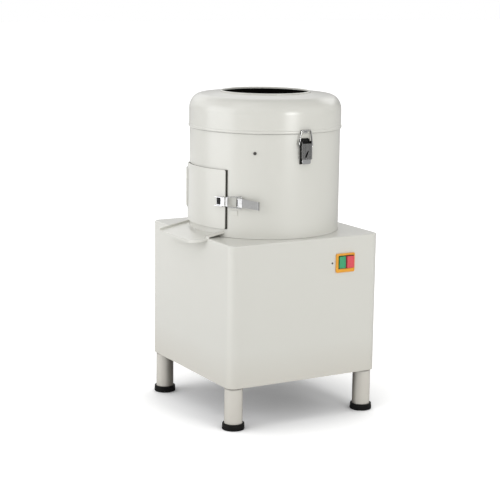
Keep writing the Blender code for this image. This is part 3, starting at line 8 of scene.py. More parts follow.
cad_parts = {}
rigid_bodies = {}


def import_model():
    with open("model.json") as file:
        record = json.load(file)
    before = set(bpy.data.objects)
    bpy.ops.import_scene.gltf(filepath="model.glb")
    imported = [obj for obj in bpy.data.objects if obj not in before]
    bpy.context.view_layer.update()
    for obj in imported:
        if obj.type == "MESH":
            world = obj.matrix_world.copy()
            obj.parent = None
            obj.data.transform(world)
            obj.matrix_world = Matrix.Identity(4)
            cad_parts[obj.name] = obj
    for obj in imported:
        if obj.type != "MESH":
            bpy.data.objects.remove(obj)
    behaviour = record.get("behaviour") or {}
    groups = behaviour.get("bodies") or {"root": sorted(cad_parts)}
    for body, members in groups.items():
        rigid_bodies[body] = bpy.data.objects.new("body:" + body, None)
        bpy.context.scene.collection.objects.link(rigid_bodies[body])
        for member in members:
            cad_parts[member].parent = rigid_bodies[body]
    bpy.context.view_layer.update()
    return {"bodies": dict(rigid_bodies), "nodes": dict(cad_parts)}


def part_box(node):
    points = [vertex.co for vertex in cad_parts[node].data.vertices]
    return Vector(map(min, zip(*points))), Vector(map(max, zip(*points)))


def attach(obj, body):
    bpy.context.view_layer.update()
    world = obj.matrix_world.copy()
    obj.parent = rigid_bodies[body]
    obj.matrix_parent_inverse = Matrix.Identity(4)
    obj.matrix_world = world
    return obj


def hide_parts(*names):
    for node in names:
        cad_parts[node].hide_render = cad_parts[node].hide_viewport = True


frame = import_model()
print("frame loaded:", len(frame["nodes"]), "nodes")

floorLow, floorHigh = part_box("drum_floor")
axisX = (floorLow.x + floorHigh.x) / 2      # the drum's upright axis
axisY = (floorLow.y + floorHigh.y) / 2
straight = pi / 2
modelling = {
    "weld": 0.00001,      # points closer than this are one
    "close": 0.0001,      # sizes that differ by less are the same
    "facing": 0.9,        # how much of a normal or an edge points along one axis
    "overrun": 0.01,      # how far a cutter stands past what it cuts
    "seedSize": 0.001,    # the plane that becomes a profile's first point
    "segments": 2,
    "angle": 32,          # sharper edges are rounded
    "blockAngle": 40,
    "cutAngle": 50,       # for pieces with fine facets beside their cuts
    "smooth": 32,
}
overrun = modelling["overrun"]


def at(x, y, z):
    return Vector((axisX + x, axisY + y, z))


def outwards(angle):      # away from the drum's axis, the angle in degrees
    return Vector((cos(radians(angle)), sin(radians(angle)), 0))


def around(angle, radius, z):      # a place beside the drum's axis
    return at(radius * cos(radians(angle)), radius * sin(radians(angle)), z)


# working in the viewport's way: select, edit, apply

def deselectAll():
    if bpy.context.object is not None and bpy.context.object.mode != "OBJECT":
        bpy.ops.object.mode_set(mode="OBJECT")
    bpy.ops.object.select_all(action="DESELECT")


def activate(piece):
    deselectAll()
    piece.select_set(True)
    bpy.context.view_layer.objects.active = piece


def edit(piece):
    activate(piece)
    bpy.ops.object.mode_set(mode="EDIT")
    bpy.ops.mesh.select_mode(type="VERT")
    bpy.ops.mesh.select_all(action="DESELECT")


def pick(piece, kind, test):
    bpy.ops.mesh.select_mode(type={"verts": "VERT", "edges": "EDGE", "faces": "FACE"}[kind])
    bpy.ops.mesh.select_all(action="DESELECT")
    mesh = bmesh.from_edit_mesh(piece.data)
    mesh.normal_update()
    for part in getattr(mesh, kind):
        if test(part):
            part.select_set(True)
    bmesh.update_edit_mesh(piece.data)


def leaveEdit():
    bpy.ops.object.mode_set(mode="OBJECT")


def applyPlace(piece):
    activate(piece)
    bpy.ops.object.transform_apply(location=True, rotation=True, scale=True)


def applyModifier(piece, kind, **values):
    activate(piece)
    step = piece.modifiers.new(kind.lower(), kind)
    for name, value in values.items():
        setattr(step, name, value)
    bpy.ops.object.modifier_apply(modifier=step.name)


def roundEdges(piece, width, segments=modelling["segments"], angle=modelling["angle"]):
    applyModifier(piece, "BEVEL", width=width, segments=segments, limit_method="ANGLE",
                  angle_limit=radians(angle))
    return piece


def roundCorners(piece, axis, width, segments, test=lambda edge: True):      # edges along one axis: 0, 1 or 2
    edit(piece)
    pick(piece, "edges", lambda e: test(e) and
         abs((e.verts[1].co - e.verts[0].co).normalized()[axis]) > modelling["facing"])
    bpy.ops.mesh.bevel(offset=width, segments=segments, affect="EDGES")
    leaveEdit()
    return piece


def sinkFront(piece, rim, depth):      # the front face sinks inside a raised rim
    edit(piece)
    pick(piece, "faces", lambda f: f.normal.y < -modelling["facing"])
    bpy.ops.mesh.inset(thickness=rim, depth=0)
    bpy.ops.mesh.extrude_region_move(TRANSFORM_OT_translate={"value": (0, depth, 0)})
    leaveEdit()
    return piece


def cutWith(piece, *tools):
    for tool in tools:
        applyModifier(piece, "BOOLEAN", object=tool, operation="DIFFERENCE", solver="EXACT")
        bpy.data.objects.remove(tool, do_unlink=True)
    return piece


def joinWith(piece, *others):
    activate(piece)
    for other in others:
        other.select_set(True)
    bpy.ops.object.join()
    return piece


def addBlock(name, low, high):
    low, high = Vector(low), Vector(high)
    deselectAll()
    bpy.ops.mesh.primitive_cube_add(size=1, location=(low + high) / 2, scale=high - low)
    piece = bpy.context.object
    piece.name = name
    applyPlace(piece)
    return piece


def addCylinder(name, radius, start, end, sides=64):
    start, end = Vector(start), Vector(end)
    deselectAll()
    turn = (end - start).to_track_quat("Z", "Y").to_euler()
    bpy.ops.mesh.primitive_cylinder_add(vertices=sides, radius=radius, depth=(end - start).length,
                                        location=(start + end) / 2, rotation=turn)
    piece = bpy.context.object
    piece.name = name
    applyPlace(piece)
    return piece


def moveTo(piece, place, direction=None):
    if direction is not None:      # the piece was made along +Z
        piece.rotation_euler = Vector(direction).to_track_quat("Z", "Y").to_euler()
    piece.location = place
    applyPlace(piece)
    return piece


def copyOf(piece, name, shift):
    activate(piece)
    bpy.ops.object.duplicate(linked=False)
    twin = bpy.context.object
    twin.name = name
    return moveTo(twin, shift)


def spinProfile(name, profile, closed=True, fill=False, start=0.0, turn=2 * pi, steps=96, centre=None):
    cx, cy = centre if centre else (axisX, axisY)
    across = Vector((cos(start), sin(start), 0))
    places = [Vector((cx, cy, z)) + across * r for r, z in profile]
    ends = (places[0], places[-1])
    deselectAll()
    bpy.ops.mesh.primitive_plane_add(size=modelling["seedSize"], location=places[0])
    piece = bpy.context.object
    piece.name = name
    applyPlace(piece)
    bpy.ops.object.mode_set(mode="EDIT")
    bpy.ops.mesh.select_mode(type="VERT")
    bpy.ops.mesh.select_all(action="SELECT")
    bpy.ops.mesh.merge(type="CENTER")
    for before, after in zip(places, places[1:]):
        bpy.ops.mesh.extrude_vertices_move(TRANSFORM_OT_translate={"value": after - before})
    if closed:
        pick(piece, "verts", lambda v: min((v.co - end).length for end in ends) < modelling["weld"])
        bpy.ops.mesh.edge_face_add()
    bpy.ops.mesh.select_all(action="SELECT")
    if fill:
        bpy.ops.mesh.edge_face_add()
    # the angle is turned round, because the tool turns clockwise here
    bpy.ops.mesh.spin(steps=steps, angle=-turn, center=(cx, cy, 0), axis=(0, 0, 1))
    bpy.ops.mesh.select_all(action="SELECT")
    bpy.ops.mesh.remove_doubles(threshold=modelling["weld"])
    bpy.ops.mesh.normals_make_consistent(inside=False)
    leaveEdit()
    return piece


def sector(name, inner, outer, low, high, start, end, steps):      # a piece of a ring, angles in degrees
    profile = [(inner, low), (outer, low), (outer, high), (inner, high)]
    return spinProfile(name, profile, fill=True, start=radians(start), turn=radians(end - start), steps=steps)


def thicken(points, thickness):      # a sheet's profile: out along the points and back inside them
    places = [Vector((r, z)) for r, z in points]
    back = []
    for i, place in enumerate(places):
        before = (place - places[i - 1]).normalized() if i else Vector((0, 0))
        after = (places[i + 1] - place).normalized() if i + 1 < len(places) else Vector((0, 0))
        along = before + after
        side = Vector((along.y, -along.x)).normalized()
        across = before if i else after
        reach = side.dot(Vector((across.y, -across.x)))
        back.append(tuple(place + side * thickness / max(reach, 0.5)))      # 0.5 keeps sharp bends short
    return list(points) + back[::-1]


def camelName(node):
    first, *others = node.split("_")
    return first + "".join(word.capitalize() for word in others)


def smoothCopy(node, width=0.0, segments=2):      # a CAD node's shape, merged and with soft edges
    piece = bpy.data.objects.new(camelName(node), frame["nodes"][node].data.copy())
    bpy.context.collection.objects.link(piece)
    activate(piece)
    bpy.ops.mesh.customdata_custom_splitnormals_clear()
    edit(piece)
    bpy.ops.mesh.select_all(action="SELECT")
    bpy.ops.mesh.remove_doubles(threshold=modelling["weld"])
    bpy.ops.mesh.dissolve_limited(angle_limit=radians(1))
    leaveEdit()
    if width:
        roundEdges(piece, width, segments)
    return piece


def bodyOf(node):
    empty = frame["nodes"][node].parent
    return next(name for name, body in frame["bodies"].items() if body == empty)


def finishPiece(piece, slotName, body, *nodes, look=None):
    activate(piece)
    bpy.ops.object.shade_smooth_by_angle(angle=radians(modelling["smooth"]))
    applyModifier(piece, "WEIGHTED_NORMAL", keep_sharp=True)
    piece.data.materials.clear()
    piece.data.materials.append(finishes[look or slotName])
    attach(piece, body)
    if nodes:
        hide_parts(*nodes)
    return piece


def dressNode(node, slotName, width, segments=2, look=None):      # a node's own shape, softened and finished
    return finishPiece(smoothCopy(node, width, segments), slotName, bodyOf(node), node, look=look)


# camera, at the photograph's angle

cameraView = {
    "position": (-2.07240, -3.56815, 1.23645),
    "yaw": 29.883,
    "pitch": 10.793,
    "roll": 0.761,
    "lens": 104.12,
    "sensor": 36.0,
    "near": 0.05,
    "far": 200.0,
}


def makeCamera():
    yaw, pitch, roll = (radians(cameraView[k]) for k in ("yaw", "pitch", "roll"))
    ahead = Vector((sin(yaw) * cos(pitch), cos(yaw) * cos(pitch), -sin(pitch)))
    right = Vector((cos(yaw), -sin(yaw), 0))
    up = right.cross(ahead)
    turn = Matrix((right * cos(roll) + up * sin(roll), up * cos(roll) - right * sin(roll), -ahead))
    deselectAll()
    bpy.ops.object.camera_add(location=cameraView["position"], rotation=turn.transposed().to_euler())
    camera = bpy.context.object
    camera.name = "photoCamera"
    camera.data.lens = cameraView["lens"]
    camera.data.sensor_width = cameraView["sensor"]
    camera.data.clip_start = cameraView["near"]
    camera.data.clip_end = cameraView["far"]
    bpy.context.scene.camera = camera


# nodes: short ways to add one, and to do sums with them

def addNode(tree, kind, inputs=None, **settings):
    node = tree.nodes.new("ShaderNode" + kind)
    for name, value in settings.items():
        setattr(node, name, value)
    for name, value in (inputs or {}).items():
        if isinstance(value, bpy.types.NodeSocket):
            tree.links.new(value, node.inputs[name])
        else:
            node.inputs[name].default_value = value
    return node


def blendColour(tree, factor, first, second):
    return addNode(tree, "Mix", {0: factor, 6: first, 7: second}, data_type="RGBA").outputs[2]


def calc(tree, operation, first, second=0.0, third=0.5, clamp=False):
    values = {0: first, 1: second, 2: third}
    return addNode(tree, "Math", values, operation=operation, use_clamp=clamp).outputs[0]


def remap(tree, value, low, high, newLow=0.0, newHigh=1.0, soft=False):
    ends = {"Value": value, "From Min": low, "From Max": high, "To Min": newLow, "To Max": newHigh}
    way = "SMOOTHERSTEP" if soft else "LINEAR"
    return addNode(tree, "MapRange", ends, clamp=True, interpolation_type=way).outputs[0]


def noise(tree, vector, scale, detail=3.0, rough=0.5):
    values = {"Vector": vector, "Scale": scale, "Detail": detail, "Roughness": rough}
    return addNode(tree, "TexNoise", values).outputs[0]


def newGroup(name, inputs, outputs):
    tree = bpy.data.node_groups.new(name, "ShaderNodeTree")
    for label, value in inputs:
        kind = {float: "NodeSocketFloat", tuple: "NodeSocketColor", str: "NodeSocketVector"}[type(value)]
        socket = tree.interface.new_socket(name=label, in_out="INPUT", socket_type=kind)
        if kind != "NodeSocketVector":
            socket.default_value = value
    for label in outputs:
        kind = "NodeSocketColor" if label == "Colour" else "NodeSocketFloat"
        tree.interface.new_socket(name=label, in_out="OUTPUT", socket_type=kind)
    entry = tree.nodes.new("NodeGroupInput")
    leave = tree.nodes.new("NodeGroupOutput")
    return tree, entry.outputs, leave.inputs


def useGroup(tree, group, **values):
    node = tree.nodes.new("ShaderNodeGroup")
    node.node_tree = group
    for name, value in values.items():
        if isinstance(value, bpy.types.NodeSocket):
            tree.links.new(value, node.inputs[name])
        else:
            node.inputs[name].default_value = value
    return node.outputs


# the effects that several finishes share; a pair is the range that becomes 0 to 1

effects = {
    "driftGain": 1.5,
    "driftShift": -0.25,
    "driftDetail": 2.0,
    "speckScale": 70.0,       # specks to one patch of the drift
    "speckRange": (0.3, 0.7),
    "wearBend": (0.995, 0.86),
    "wearPatch": (0.38, 0.62),
    "wearNoise": (5.0, 0.65),
    "dustUpward": (0.55, 1.0),
    "dustPatch": (0.3, 0.7),
    "dustNoise": (6.0, 0.6),
    "dustRough": 0.4,
    "grainNoise": (3.0, 0.55),
    "waveNoise": (1.0, 0.4),
    "lineNoise": (3.0, 0.7),
    "lineRange": (0.3, 0.7),
    "sideReflectionRange": (0.42, 0.62),
    "innerShadeRange": (-0.10, -0.95),
    "underShadeRange": (0.1130, 0.1195),      # heights of the painted contact shadow, just below the cabinet's lower edge
    "lowShadeRange": (0.22, 0.05),
}


def makeToneDrift():      # broad, soft changes of colour with fine specks over them
    tree, given, made = newGroup("toneDrift", [("Vector", ""), ("Colour", (1.0, 1.0, 1.0, 1.0)),
                                               ("Shade", (0.5, 0.5, 0.5, 1.0)), ("Scale", 5.0),
                                               ("Amount", 0.5), ("Specks", 0.1)], ["Colour", "Value"])
    broad = noise(tree, given["Vector"], given["Scale"], effects["driftDetail"])
    broad = calc(tree, "MULTIPLY_ADD", broad, effects["driftGain"], effects["driftShift"])
    fineScale = calc(tree, "MULTIPLY", given["Scale"], effects["speckScale"])
    fine = noise(tree, given["Vector"], fineScale, effects["driftDetail"])
    fine = remap(tree, fine, *effects["speckRange"])
    share = calc(tree, "MULTIPLY", broad, given["Amount"])
    speckShare = calc(tree, "MULTIPLY", fine, given["Specks"])
    total = calc(tree, "ADD", share, speckShare, clamp=True)
    tree.links.new(blendColour(tree, total, given["Colour"], given["Shade"]), made["Colour"])
    tree.links.new(broad, made["Value"])
    return tree


def makeEdgeWear():      # rubbed places where the shape bends sharply
    tree, given, made = newGroup("edgeWear", [("Vector", ""), ("Radius", 0.002), ("Scale", 60.0),
                                              ("Amount", 0.5)], ["Mask"])
    soft = addNode(tree, "Bevel", {"Radius": given["Radius"]}, samples=4).outputs[0]
    true = addNode(tree, "NewGeometry").outputs["Normal"]
    meet = addNode(tree, "VectorMath", {0: soft, 1: true}, operation="DOT_PRODUCT").outputs["Value"]
    bend = remap(tree, meet, *effects["wearBend"])
    patch = noise(tree, given["Vector"], given["Scale"], *effects["wearNoise"])
    patch = remap(tree, patch, *effects["wearPatch"])
    mask = calc(tree, "MULTIPLY", calc(tree, "MULTIPLY", bend, patch), given["Amount"], clamp=True)
    tree.links.new(mask, made["Mask"])
    return tree


def makeSettledDust():      # a thin film on faces that look up
    tree, given, made = newGroup("settledDust", [("Vector", ""), ("Scale", 14.0), ("Amount", 0.3)], ["Mask"])
    normal = addNode(tree, "NewGeometry").outputs["Normal"]
    height = addNode(tree, "SeparateXYZ", {0: normal}).outputs["Z"]
    upward = remap(tree, height, *effects["dustUpward"])
    patch = noise(tree, given["Vector"], given["Scale"], *effects["dustNoise"])
    patch = remap(tree, patch, *effects["dustPatch"])
    mask = calc(tree, "MULTIPLY", calc(tree, "MULTIPLY", upward, patch), given["Amount"], clamp=True)
    tree.links.new(mask, made["Mask"])
    return tree


def makeSurfaceGrain():      # the fine unevenness of a moulded, painted or cast skin
    tree, given, made = newGroup("surfaceGrain", [("Vector", ""), ("Scale", 800.0), ("Depth", 0.00003),
                                                  ("WaveScale", 9.0), ("WaveDepth", 0.0003)], ["Height"])
    fine = noise(tree, given["Vector"], given["Scale"], *effects["grainNoise"])
    fine = calc(tree, "MULTIPLY", fine, given["Depth"])
    wave = noise(tree, given["Vector"], given["WaveScale"], *effects["waveNoise"])
    wave = calc(tree, "MULTIPLY", wave, given["WaveDepth"])
    tree.links.new(calc(tree, "ADD", fine, wave), made["Height"])
    return tree


def makeBrushedLines():      # long fine scratches along one direction
    tree, given, made = newGroup("brushedLines", [("Vector", ""), ("Along", 6.0), ("Across", 2200.0),
                                                  ("Depth", 0.00001)], ["Height", "Value"])
    parts = addNode(tree, "SeparateXYZ", {0: given["Vector"]}).outputs
    level = calc(tree, "ADD", parts["X"], parts["Y"])
    wide = calc(tree, "MULTIPLY", level, given["Across"])
    depth = calc(tree, "MULTIPLY", calc(tree, "SUBTRACT", parts["X"], parts["Y"]), given["Across"])
    along = calc(tree, "MULTIPLY", parts["Z"], given["Along"])
    stretched = addNode(tree, "CombineXYZ", {"X": wide, "Y": depth, "Z": along}).outputs[0]
    lines = noise(tree, stretched, 1.0, *effects["lineNoise"])
    tree.links.new(calc(tree, "MULTIPLY", lines, given["Depth"]), made["Height"])
    tree.links.new(remap(tree, lines, *effects["lineRange"]), made["Value"])
    return tree


def makeTurnedRings():      # the spiral that a lathe leaves, round the drum's axis
    tree, given, made = newGroup("turnedRings", [("Vector", ""), ("Pitch", 2500.0), ("Depth", 0.00001)],
                                 ["Height", "Value"])
    parts = addNode(tree, "SeparateXYZ", {0: given["Vector"]}).outputs
    square = calc(tree, "ADD", calc(tree, "MULTIPLY", parts["X"], parts["X"]),
                  calc(tree, "MULTIPLY", parts["Y"], parts["Y"]))
    reach = calc(tree, "ADD", calc(tree, "SQRT", square), parts["Z"])
    ring = calc(tree, "SINE", calc(tree, "MULTIPLY", reach, given["Pitch"]))
    tree.links.new(calc(tree, "MULTIPLY", ring, given["Depth"]), made["Height"])
    tree.links.new(remap(tree, ring, -1.0, 1.0), made["Value"])
    return tree


def makeGritCells():      # sharp grains bonded side by side
    tree, given, made = newGroup("gritCells", [("Vector", ""), ("Scale", 700.0), ("Depth", 0.0006)],
                                 ["Height", "Value"])
    cells = addNode(tree, "TexVoronoi", {"Vector": given["Vector"], "Scale": given["Scale"]}, feature="F1")
    hill = calc(tree, "SUBTRACT", 1.0, cells.outputs["Distance"], clamp=True)
    tree.links.new(calc(tree, "MULTIPLY", hill, given["Depth"]), made["Height"])
    tint = addNode(tree, "SeparateColor", {0: cells.outputs["Color"]}).outputs[0]
    tree.links.new(tint, made["Value"])
    return tree


toneDrift = makeToneDrift()
edgeWear = makeEdgeWear()
settledDust = makeSettledDust()
surfaceGrain = makeSurfaceGrain()
brushedLines = makeBrushedLines()
turnedRings = makeTurnedRings()
gritCells = makeGritCells()
print("shared effects ready")

# one look for each of the record's finishes, and some of their own for single pieces

commonLook = {
    "metallic": 0.0, "specular": 0.5, "coat": 0.0, "coatRough": 0.2, "roughSpread": 0.05, "drift": 6.0,
    "driftAmount": 0.5, "specks": 0.12, "grain": 900.0, "grainDepth": 0.00003, "wave": 9.0, "waveDepth": 0.0,
    "wear": 0.3, "wearRadius": 0.0015, "wearRough": 0.12, "dust": 0.15, "dustColour": (0.46, 0.43, 0.37, 1),
    "pattern": None, "size": 0.0, "depth": 0.0, "patternTone": 0.0, "reflectionSides": (),
    "sideReflectionColour": (0.012, 0.012, 0.012, 1), "innerShade": 0.0, "grime": 0.0,
    "lowShadeColour": (0.55, 0.50, 0.42, 1),
}
wireLook = {
    "colour": (0.90, 0.90, 0.89, 1), "shade": (0.80, 0.80, 0.79, 1), "roughness": 0.14, "metallic": 1.0,
    "drift": 60.0, "grainDepth": 0.000006, "wear": 0.2, "wearRadius": 0.0005,
    "wearColour": (0.50, 0.49, 0.47, 1), "dust": 0.05,
}
looks = {
    "cream_paint": {
        "colour": (0.675, 0.671, 0.620, 1), "shade": (0.642, 0.634, 0.578, 1), "roughness": 0.33,
        "roughSpread": 0.035, "coat": 0.6, "drift": 3.0, "specks": 0.10, "grain": 1200.0,
        "grainDepth": 0.00004, "wave": 6.0, "waveDepth": 0.0004, "wear": 0.35, "wearRadius": 0.0018,
        "wearColour": (0.47, 0.455, 0.41, 1), "dust": 0.10, "grime": 0.55,
    },
    # painted shade: a slightly darker copy of the cream paint, for the legs in shade
    "leg_paint": {
        "colour": (0.655, 0.640, 0.590, 1), "shade": (0.630, 0.612, 0.560, 1), "roughness": 0.34,
        "roughSpread": 0.035, "coat": 0.5, "coatRough": 0.22, "driftAmount": 0.6, "grain": 1200.0,
        "grainDepth": 0.00004, "wear": 0.35, "wearColour": (0.47, 0.455, 0.41, 1), "grime": 0.30,
        "innerShade": 0.86, "innerShadeColour": (0.035, 0.030, 0.024, 1),
    },
    "black_rubber": {
        "colour": (0.004, 0.0038, 0.0036, 1), "shade": (0.009, 0.0085, 0.008, 1), "roughness": 0.55,
        "specular": 0.22, "drift": 30.0, "grain": 1500.0, "grainDepth": 0.00012, "wear": 0.6,
        "wearColour": (0.040, 0.037, 0.034, 1), "dust": 0.22, "dustColour": (0.060, 0.055, 0.048, 1),
    },
    # painted shade: nearly black, for the sleeve that stands for the unlit inside of the feed opening
    "feed_painted_shade": {
        "colour": (0.0016, 0.0013, 0.0009, 1), "shade": (0.003, 0.0026, 0.002, 1), "roughness": 0.7,
        "specular": 0.05, "drift": 30.0, "grain": 1500.0, "grainDepth": 0.00010, "wear": 0.2,
        "wearColour": (0.012, 0.011, 0.010, 1), "dust": 0.05, "dustColour": (0.02, 0.02, 0.018, 1),
    },
    "door_rubber": {
        "colour": (0.030, 0.028, 0.022, 1), "shade": (0.045, 0.042, 0.034, 1), "roughness": 0.62,
        "specular": 0.3, "drift": 30.0, "grain": 1500.0, "grainDepth": 0.00012, "wear": 0.4,
        "wearColour": (0.10, 0.095, 0.08, 1), "dust": 0.2, "dustColour": (0.12, 0.11, 0.095, 1),
    },
    "bright_chrome": {
        "colour": (0.78, 0.785, 0.79, 1), "shade": (0.70, 0.70, 0.70, 1), "roughness": 0.11,
        "metallic": 1.0, "drift": 60.0, "grainDepth": 0.000006, "wave": 120.0, "waveDepth": 0.00006,
        "wear": 0.4, "wearRadius": 0.0008, "wearColour": (0.50, 0.49, 0.47, 1), "dust": 0.08,
    },
    "satin_nickel": {
        "colour": (0.54, 0.54, 0.53, 1), "shade": (0.34, 0.34, 0.335, 1), "roughness": 0.30,
        "metallic": 1.0, "drift": 80.0, "driftAmount": 0.7, "grainDepth": 0.00001, "wear": 0.6,
        "wearRadius": 0.0008, "wearColour": (0.74, 0.73, 0.71, 1), "dust": 0.1, "pattern": "brushed",
        "size": 1700.0, "depth": 0.000035, "patternTone": 0.45,
    },
    # latch_satin and the two wires below get a painted dark reflection on their sides
    "latch_satin": {
        "colour": (0.46, 0.46, 0.45, 1), "shade": (0.12, 0.12, 0.12, 1), "roughness": 0.27,
        "metallic": 1.0, "drift": 80.0, "driftAmount": 0.3, "grainDepth": 0.00001, "wear": 0.5,
        "wearRadius": 0.0006, "wearColour": (0.70, 0.69, 0.67, 1), "dust": 0.1, "pattern": "brushed",
        "size": 620.0, "depth": 0.00005, "patternTone": 0.9, "reflectionSides": ("X",),
    },
    "latch_wire": dict(wireLook, reflectionSides=("X", "Z")),
    "loop_wire": dict(wireLook, reflectionSides=("Z",)),
    # painted shade: near-black plating for latch parts that stand in shade
    "latch_dark": {
        "colour": (0.018, 0.018, 0.018, 1), "shade": (0.035, 0.035, 0.034, 1), "roughness": 0.30,
        "metallic": 1.0, "drift": 60.0, "grainDepth": 0.00002, "wear": 0.4, "wearRadius": 0.0006,
        "wearColour": (0.16, 0.16, 0.155, 1), "dust": 0.08,
    },
    "zinc_plate": {
        "colour": (0.46, 0.47, 0.47, 1), "shade": (0.34, 0.35, 0.36, 1), "roughness": 0.38,
        "metallic": 1.0, "drift": 38.0, "driftAmount": 0.9, "specks": 0.25, "grainDepth": 0.00002,
        "wear": 0.5, "wearColour": (0.60, 0.59, 0.56, 1), "dust": 0.2,
    },
    "turned_steel": {
        "colour": (0.60, 0.595, 0.58, 1), "shade": (0.47, 0.465, 0.45, 1), "roughness": 0.24,
        "metallic": 1.0, "drift": 30.0, "grainDepth": 0.00001, "wear": 0.5,
        "wearColour": (0.72, 0.71, 0.69, 1), "dust": 0.1, "pattern": "rings", "size": 5200.0,
        "depth": 0.000012, "patternTone": 0.2,
    },
    "cast_iron": {
        "colour": (0.060, 0.059, 0.057, 1), "shade": (0.10, 0.096, 0.09, 1), "roughness": 0.58,
        "metallic": 0.6, "drift": 40.0, "driftAmount": 0.9, "grain": 700.0, "grainDepth": 0.00022,
        "wear": 0.7, "wearColour": (0.26, 0.25, 0.23, 1), "dust": 0.3,
    },
    "motor_paint": {
        "colour": (0.085, 0.115, 0.135, 1), "shade": (0.060, 0.082, 0.10, 1), "roughness": 0.40,
        "coat": 0.2, "drift": 20.0, "grain": 260.0, "grainDepth": 0.00022, "wear": 0.6,
        "wearColour": (0.25, 0.25, 0.24, 1), "dust": 0.5,
    },
    "abrasive_grit": {
        "colour": (0.060, 0.058, 0.060, 1), "shade": (0.11, 0.105, 0.10, 1), "roughness": 0.72,
        "drift": 9.0, "driftAmount": 0.6, "grainDepth": 0.0, "wear": 0.35,
        "wearColour": (0.20, 0.19, 0.17, 1), "dust": 0.25, "pattern": "grit", "size": 620.0,
        "depth": 0.0007, "patternTone": 0.75,
    },
    "yellow_plastic": {
        "colour": (0.86, 0.40, 0.030, 1), "shade": (0.76, 0.33, 0.022, 1), "roughness": 0.38,
        "drift": 40.0, "grain": 1600.0, "wear": 0.5, "wearColour": (0.84, 0.50, 0.16, 1), "dust": 0.1,
    },
    "dark_plastic": {
        "colour": (0.022, 0.021, 0.022, 1), "shade": (0.036, 0.034, 0.034, 1), "roughness": 0.42,
        "drift": 50.0, "grain": 1500.0, "grainDepth": 0.00005, "wear": 0.5,
        "wearColour": (0.09, 0.085, 0.08, 1), "dust": 0.2, "dustColour": (0.14, 0.13, 0.12, 1),
    },
    "green_plastic": {
        "colour": (0.065, 0.40, 0.185, 1), "shade": (0.040, 0.31, 0.140, 1), "roughness": 0.30,
        "drift": 60.0, "grain": 1700.0, "grainDepth": 0.00002, "wear": 0.5,
        "wearColour": (0.16, 0.42, 0.20, 1), "dust": 0.08,
    },
    "red_plastic": {
        "colour": (0.76, 0.095, 0.120, 1), "shade": (0.64, 0.060, 0.085, 1), "roughness": 0.30,
        "drift": 60.0, "grain": 1700.0, "grainDepth": 0.00002, "wear": 0.5,
        "wearColour": (0.80, 0.24, 0.20, 1), "dust": 0.08,
    },
}


def addPattern(tree, look, place, centred):      # brushing, turning or grit, where the finish has one
    values = {"Depth": look["depth"]}
    if look["pattern"] == "brushed":
        return useGroup(tree, brushedLines, Vector=place, Across=look["size"], **values)
    if look["pattern"] == "rings":
        return useGroup(tree, turnedRings, Vector=centred, Pitch=look["size"], **values)
    return useGroup(tree, gritCells, Vector=place, Scale=look["size"], **values)


def paintSideReflection(tree, look, colour):      # painted dark reflection on plated sides that face along the given axes
    facing = addNode(tree, "SeparateXYZ", {0: addNode(tree, "TexCoord").outputs["Normal"]}).outputs
    sides = [calc(tree, "ABSOLUTE", facing[axis]) for axis in look["reflectionSides"]]
    turned = remap(tree, calc(tree, "MAXIMUM", sides[0], sides[-1]), *effects["sideReflectionRange"])
    return blendColour(tree, turned, colour, look["sideReflectionColour"])


def paintInnerShade(tree, look, colour, centred):      # painted shade: darker on sides that face the middle, and a painted contact shadow just under the cabinet
    spot = addNode(tree, "SeparateXYZ", {0: centred}).outputs
    flat = addNode(tree, "CombineXYZ", {"X": spot["X"], "Y": spot["Y"]}).outputs[0]
    outward = addNode(tree, "VectorMath", {0: flat}, operation="NORMALIZE").outputs["Vector"]
    normal = addNode(tree, "TexCoord").outputs["Normal"]
    facing = addNode(tree, "VectorMath", {0: normal, 1: outward}, operation="DOT_PRODUCT").outputs["Value"]
    inner = remap(tree, facing, *effects["innerShadeRange"], soft=True)
    under = remap(tree, spot["Z"], *effects["underShadeRange"], soft=True)
    paintedShade = calc(tree, "MULTIPLY", calc(tree, "MAXIMUM", inner, under), look["innerShade"])
    return blendColour(tree, paintedShade, colour, look["innerShadeColour"])


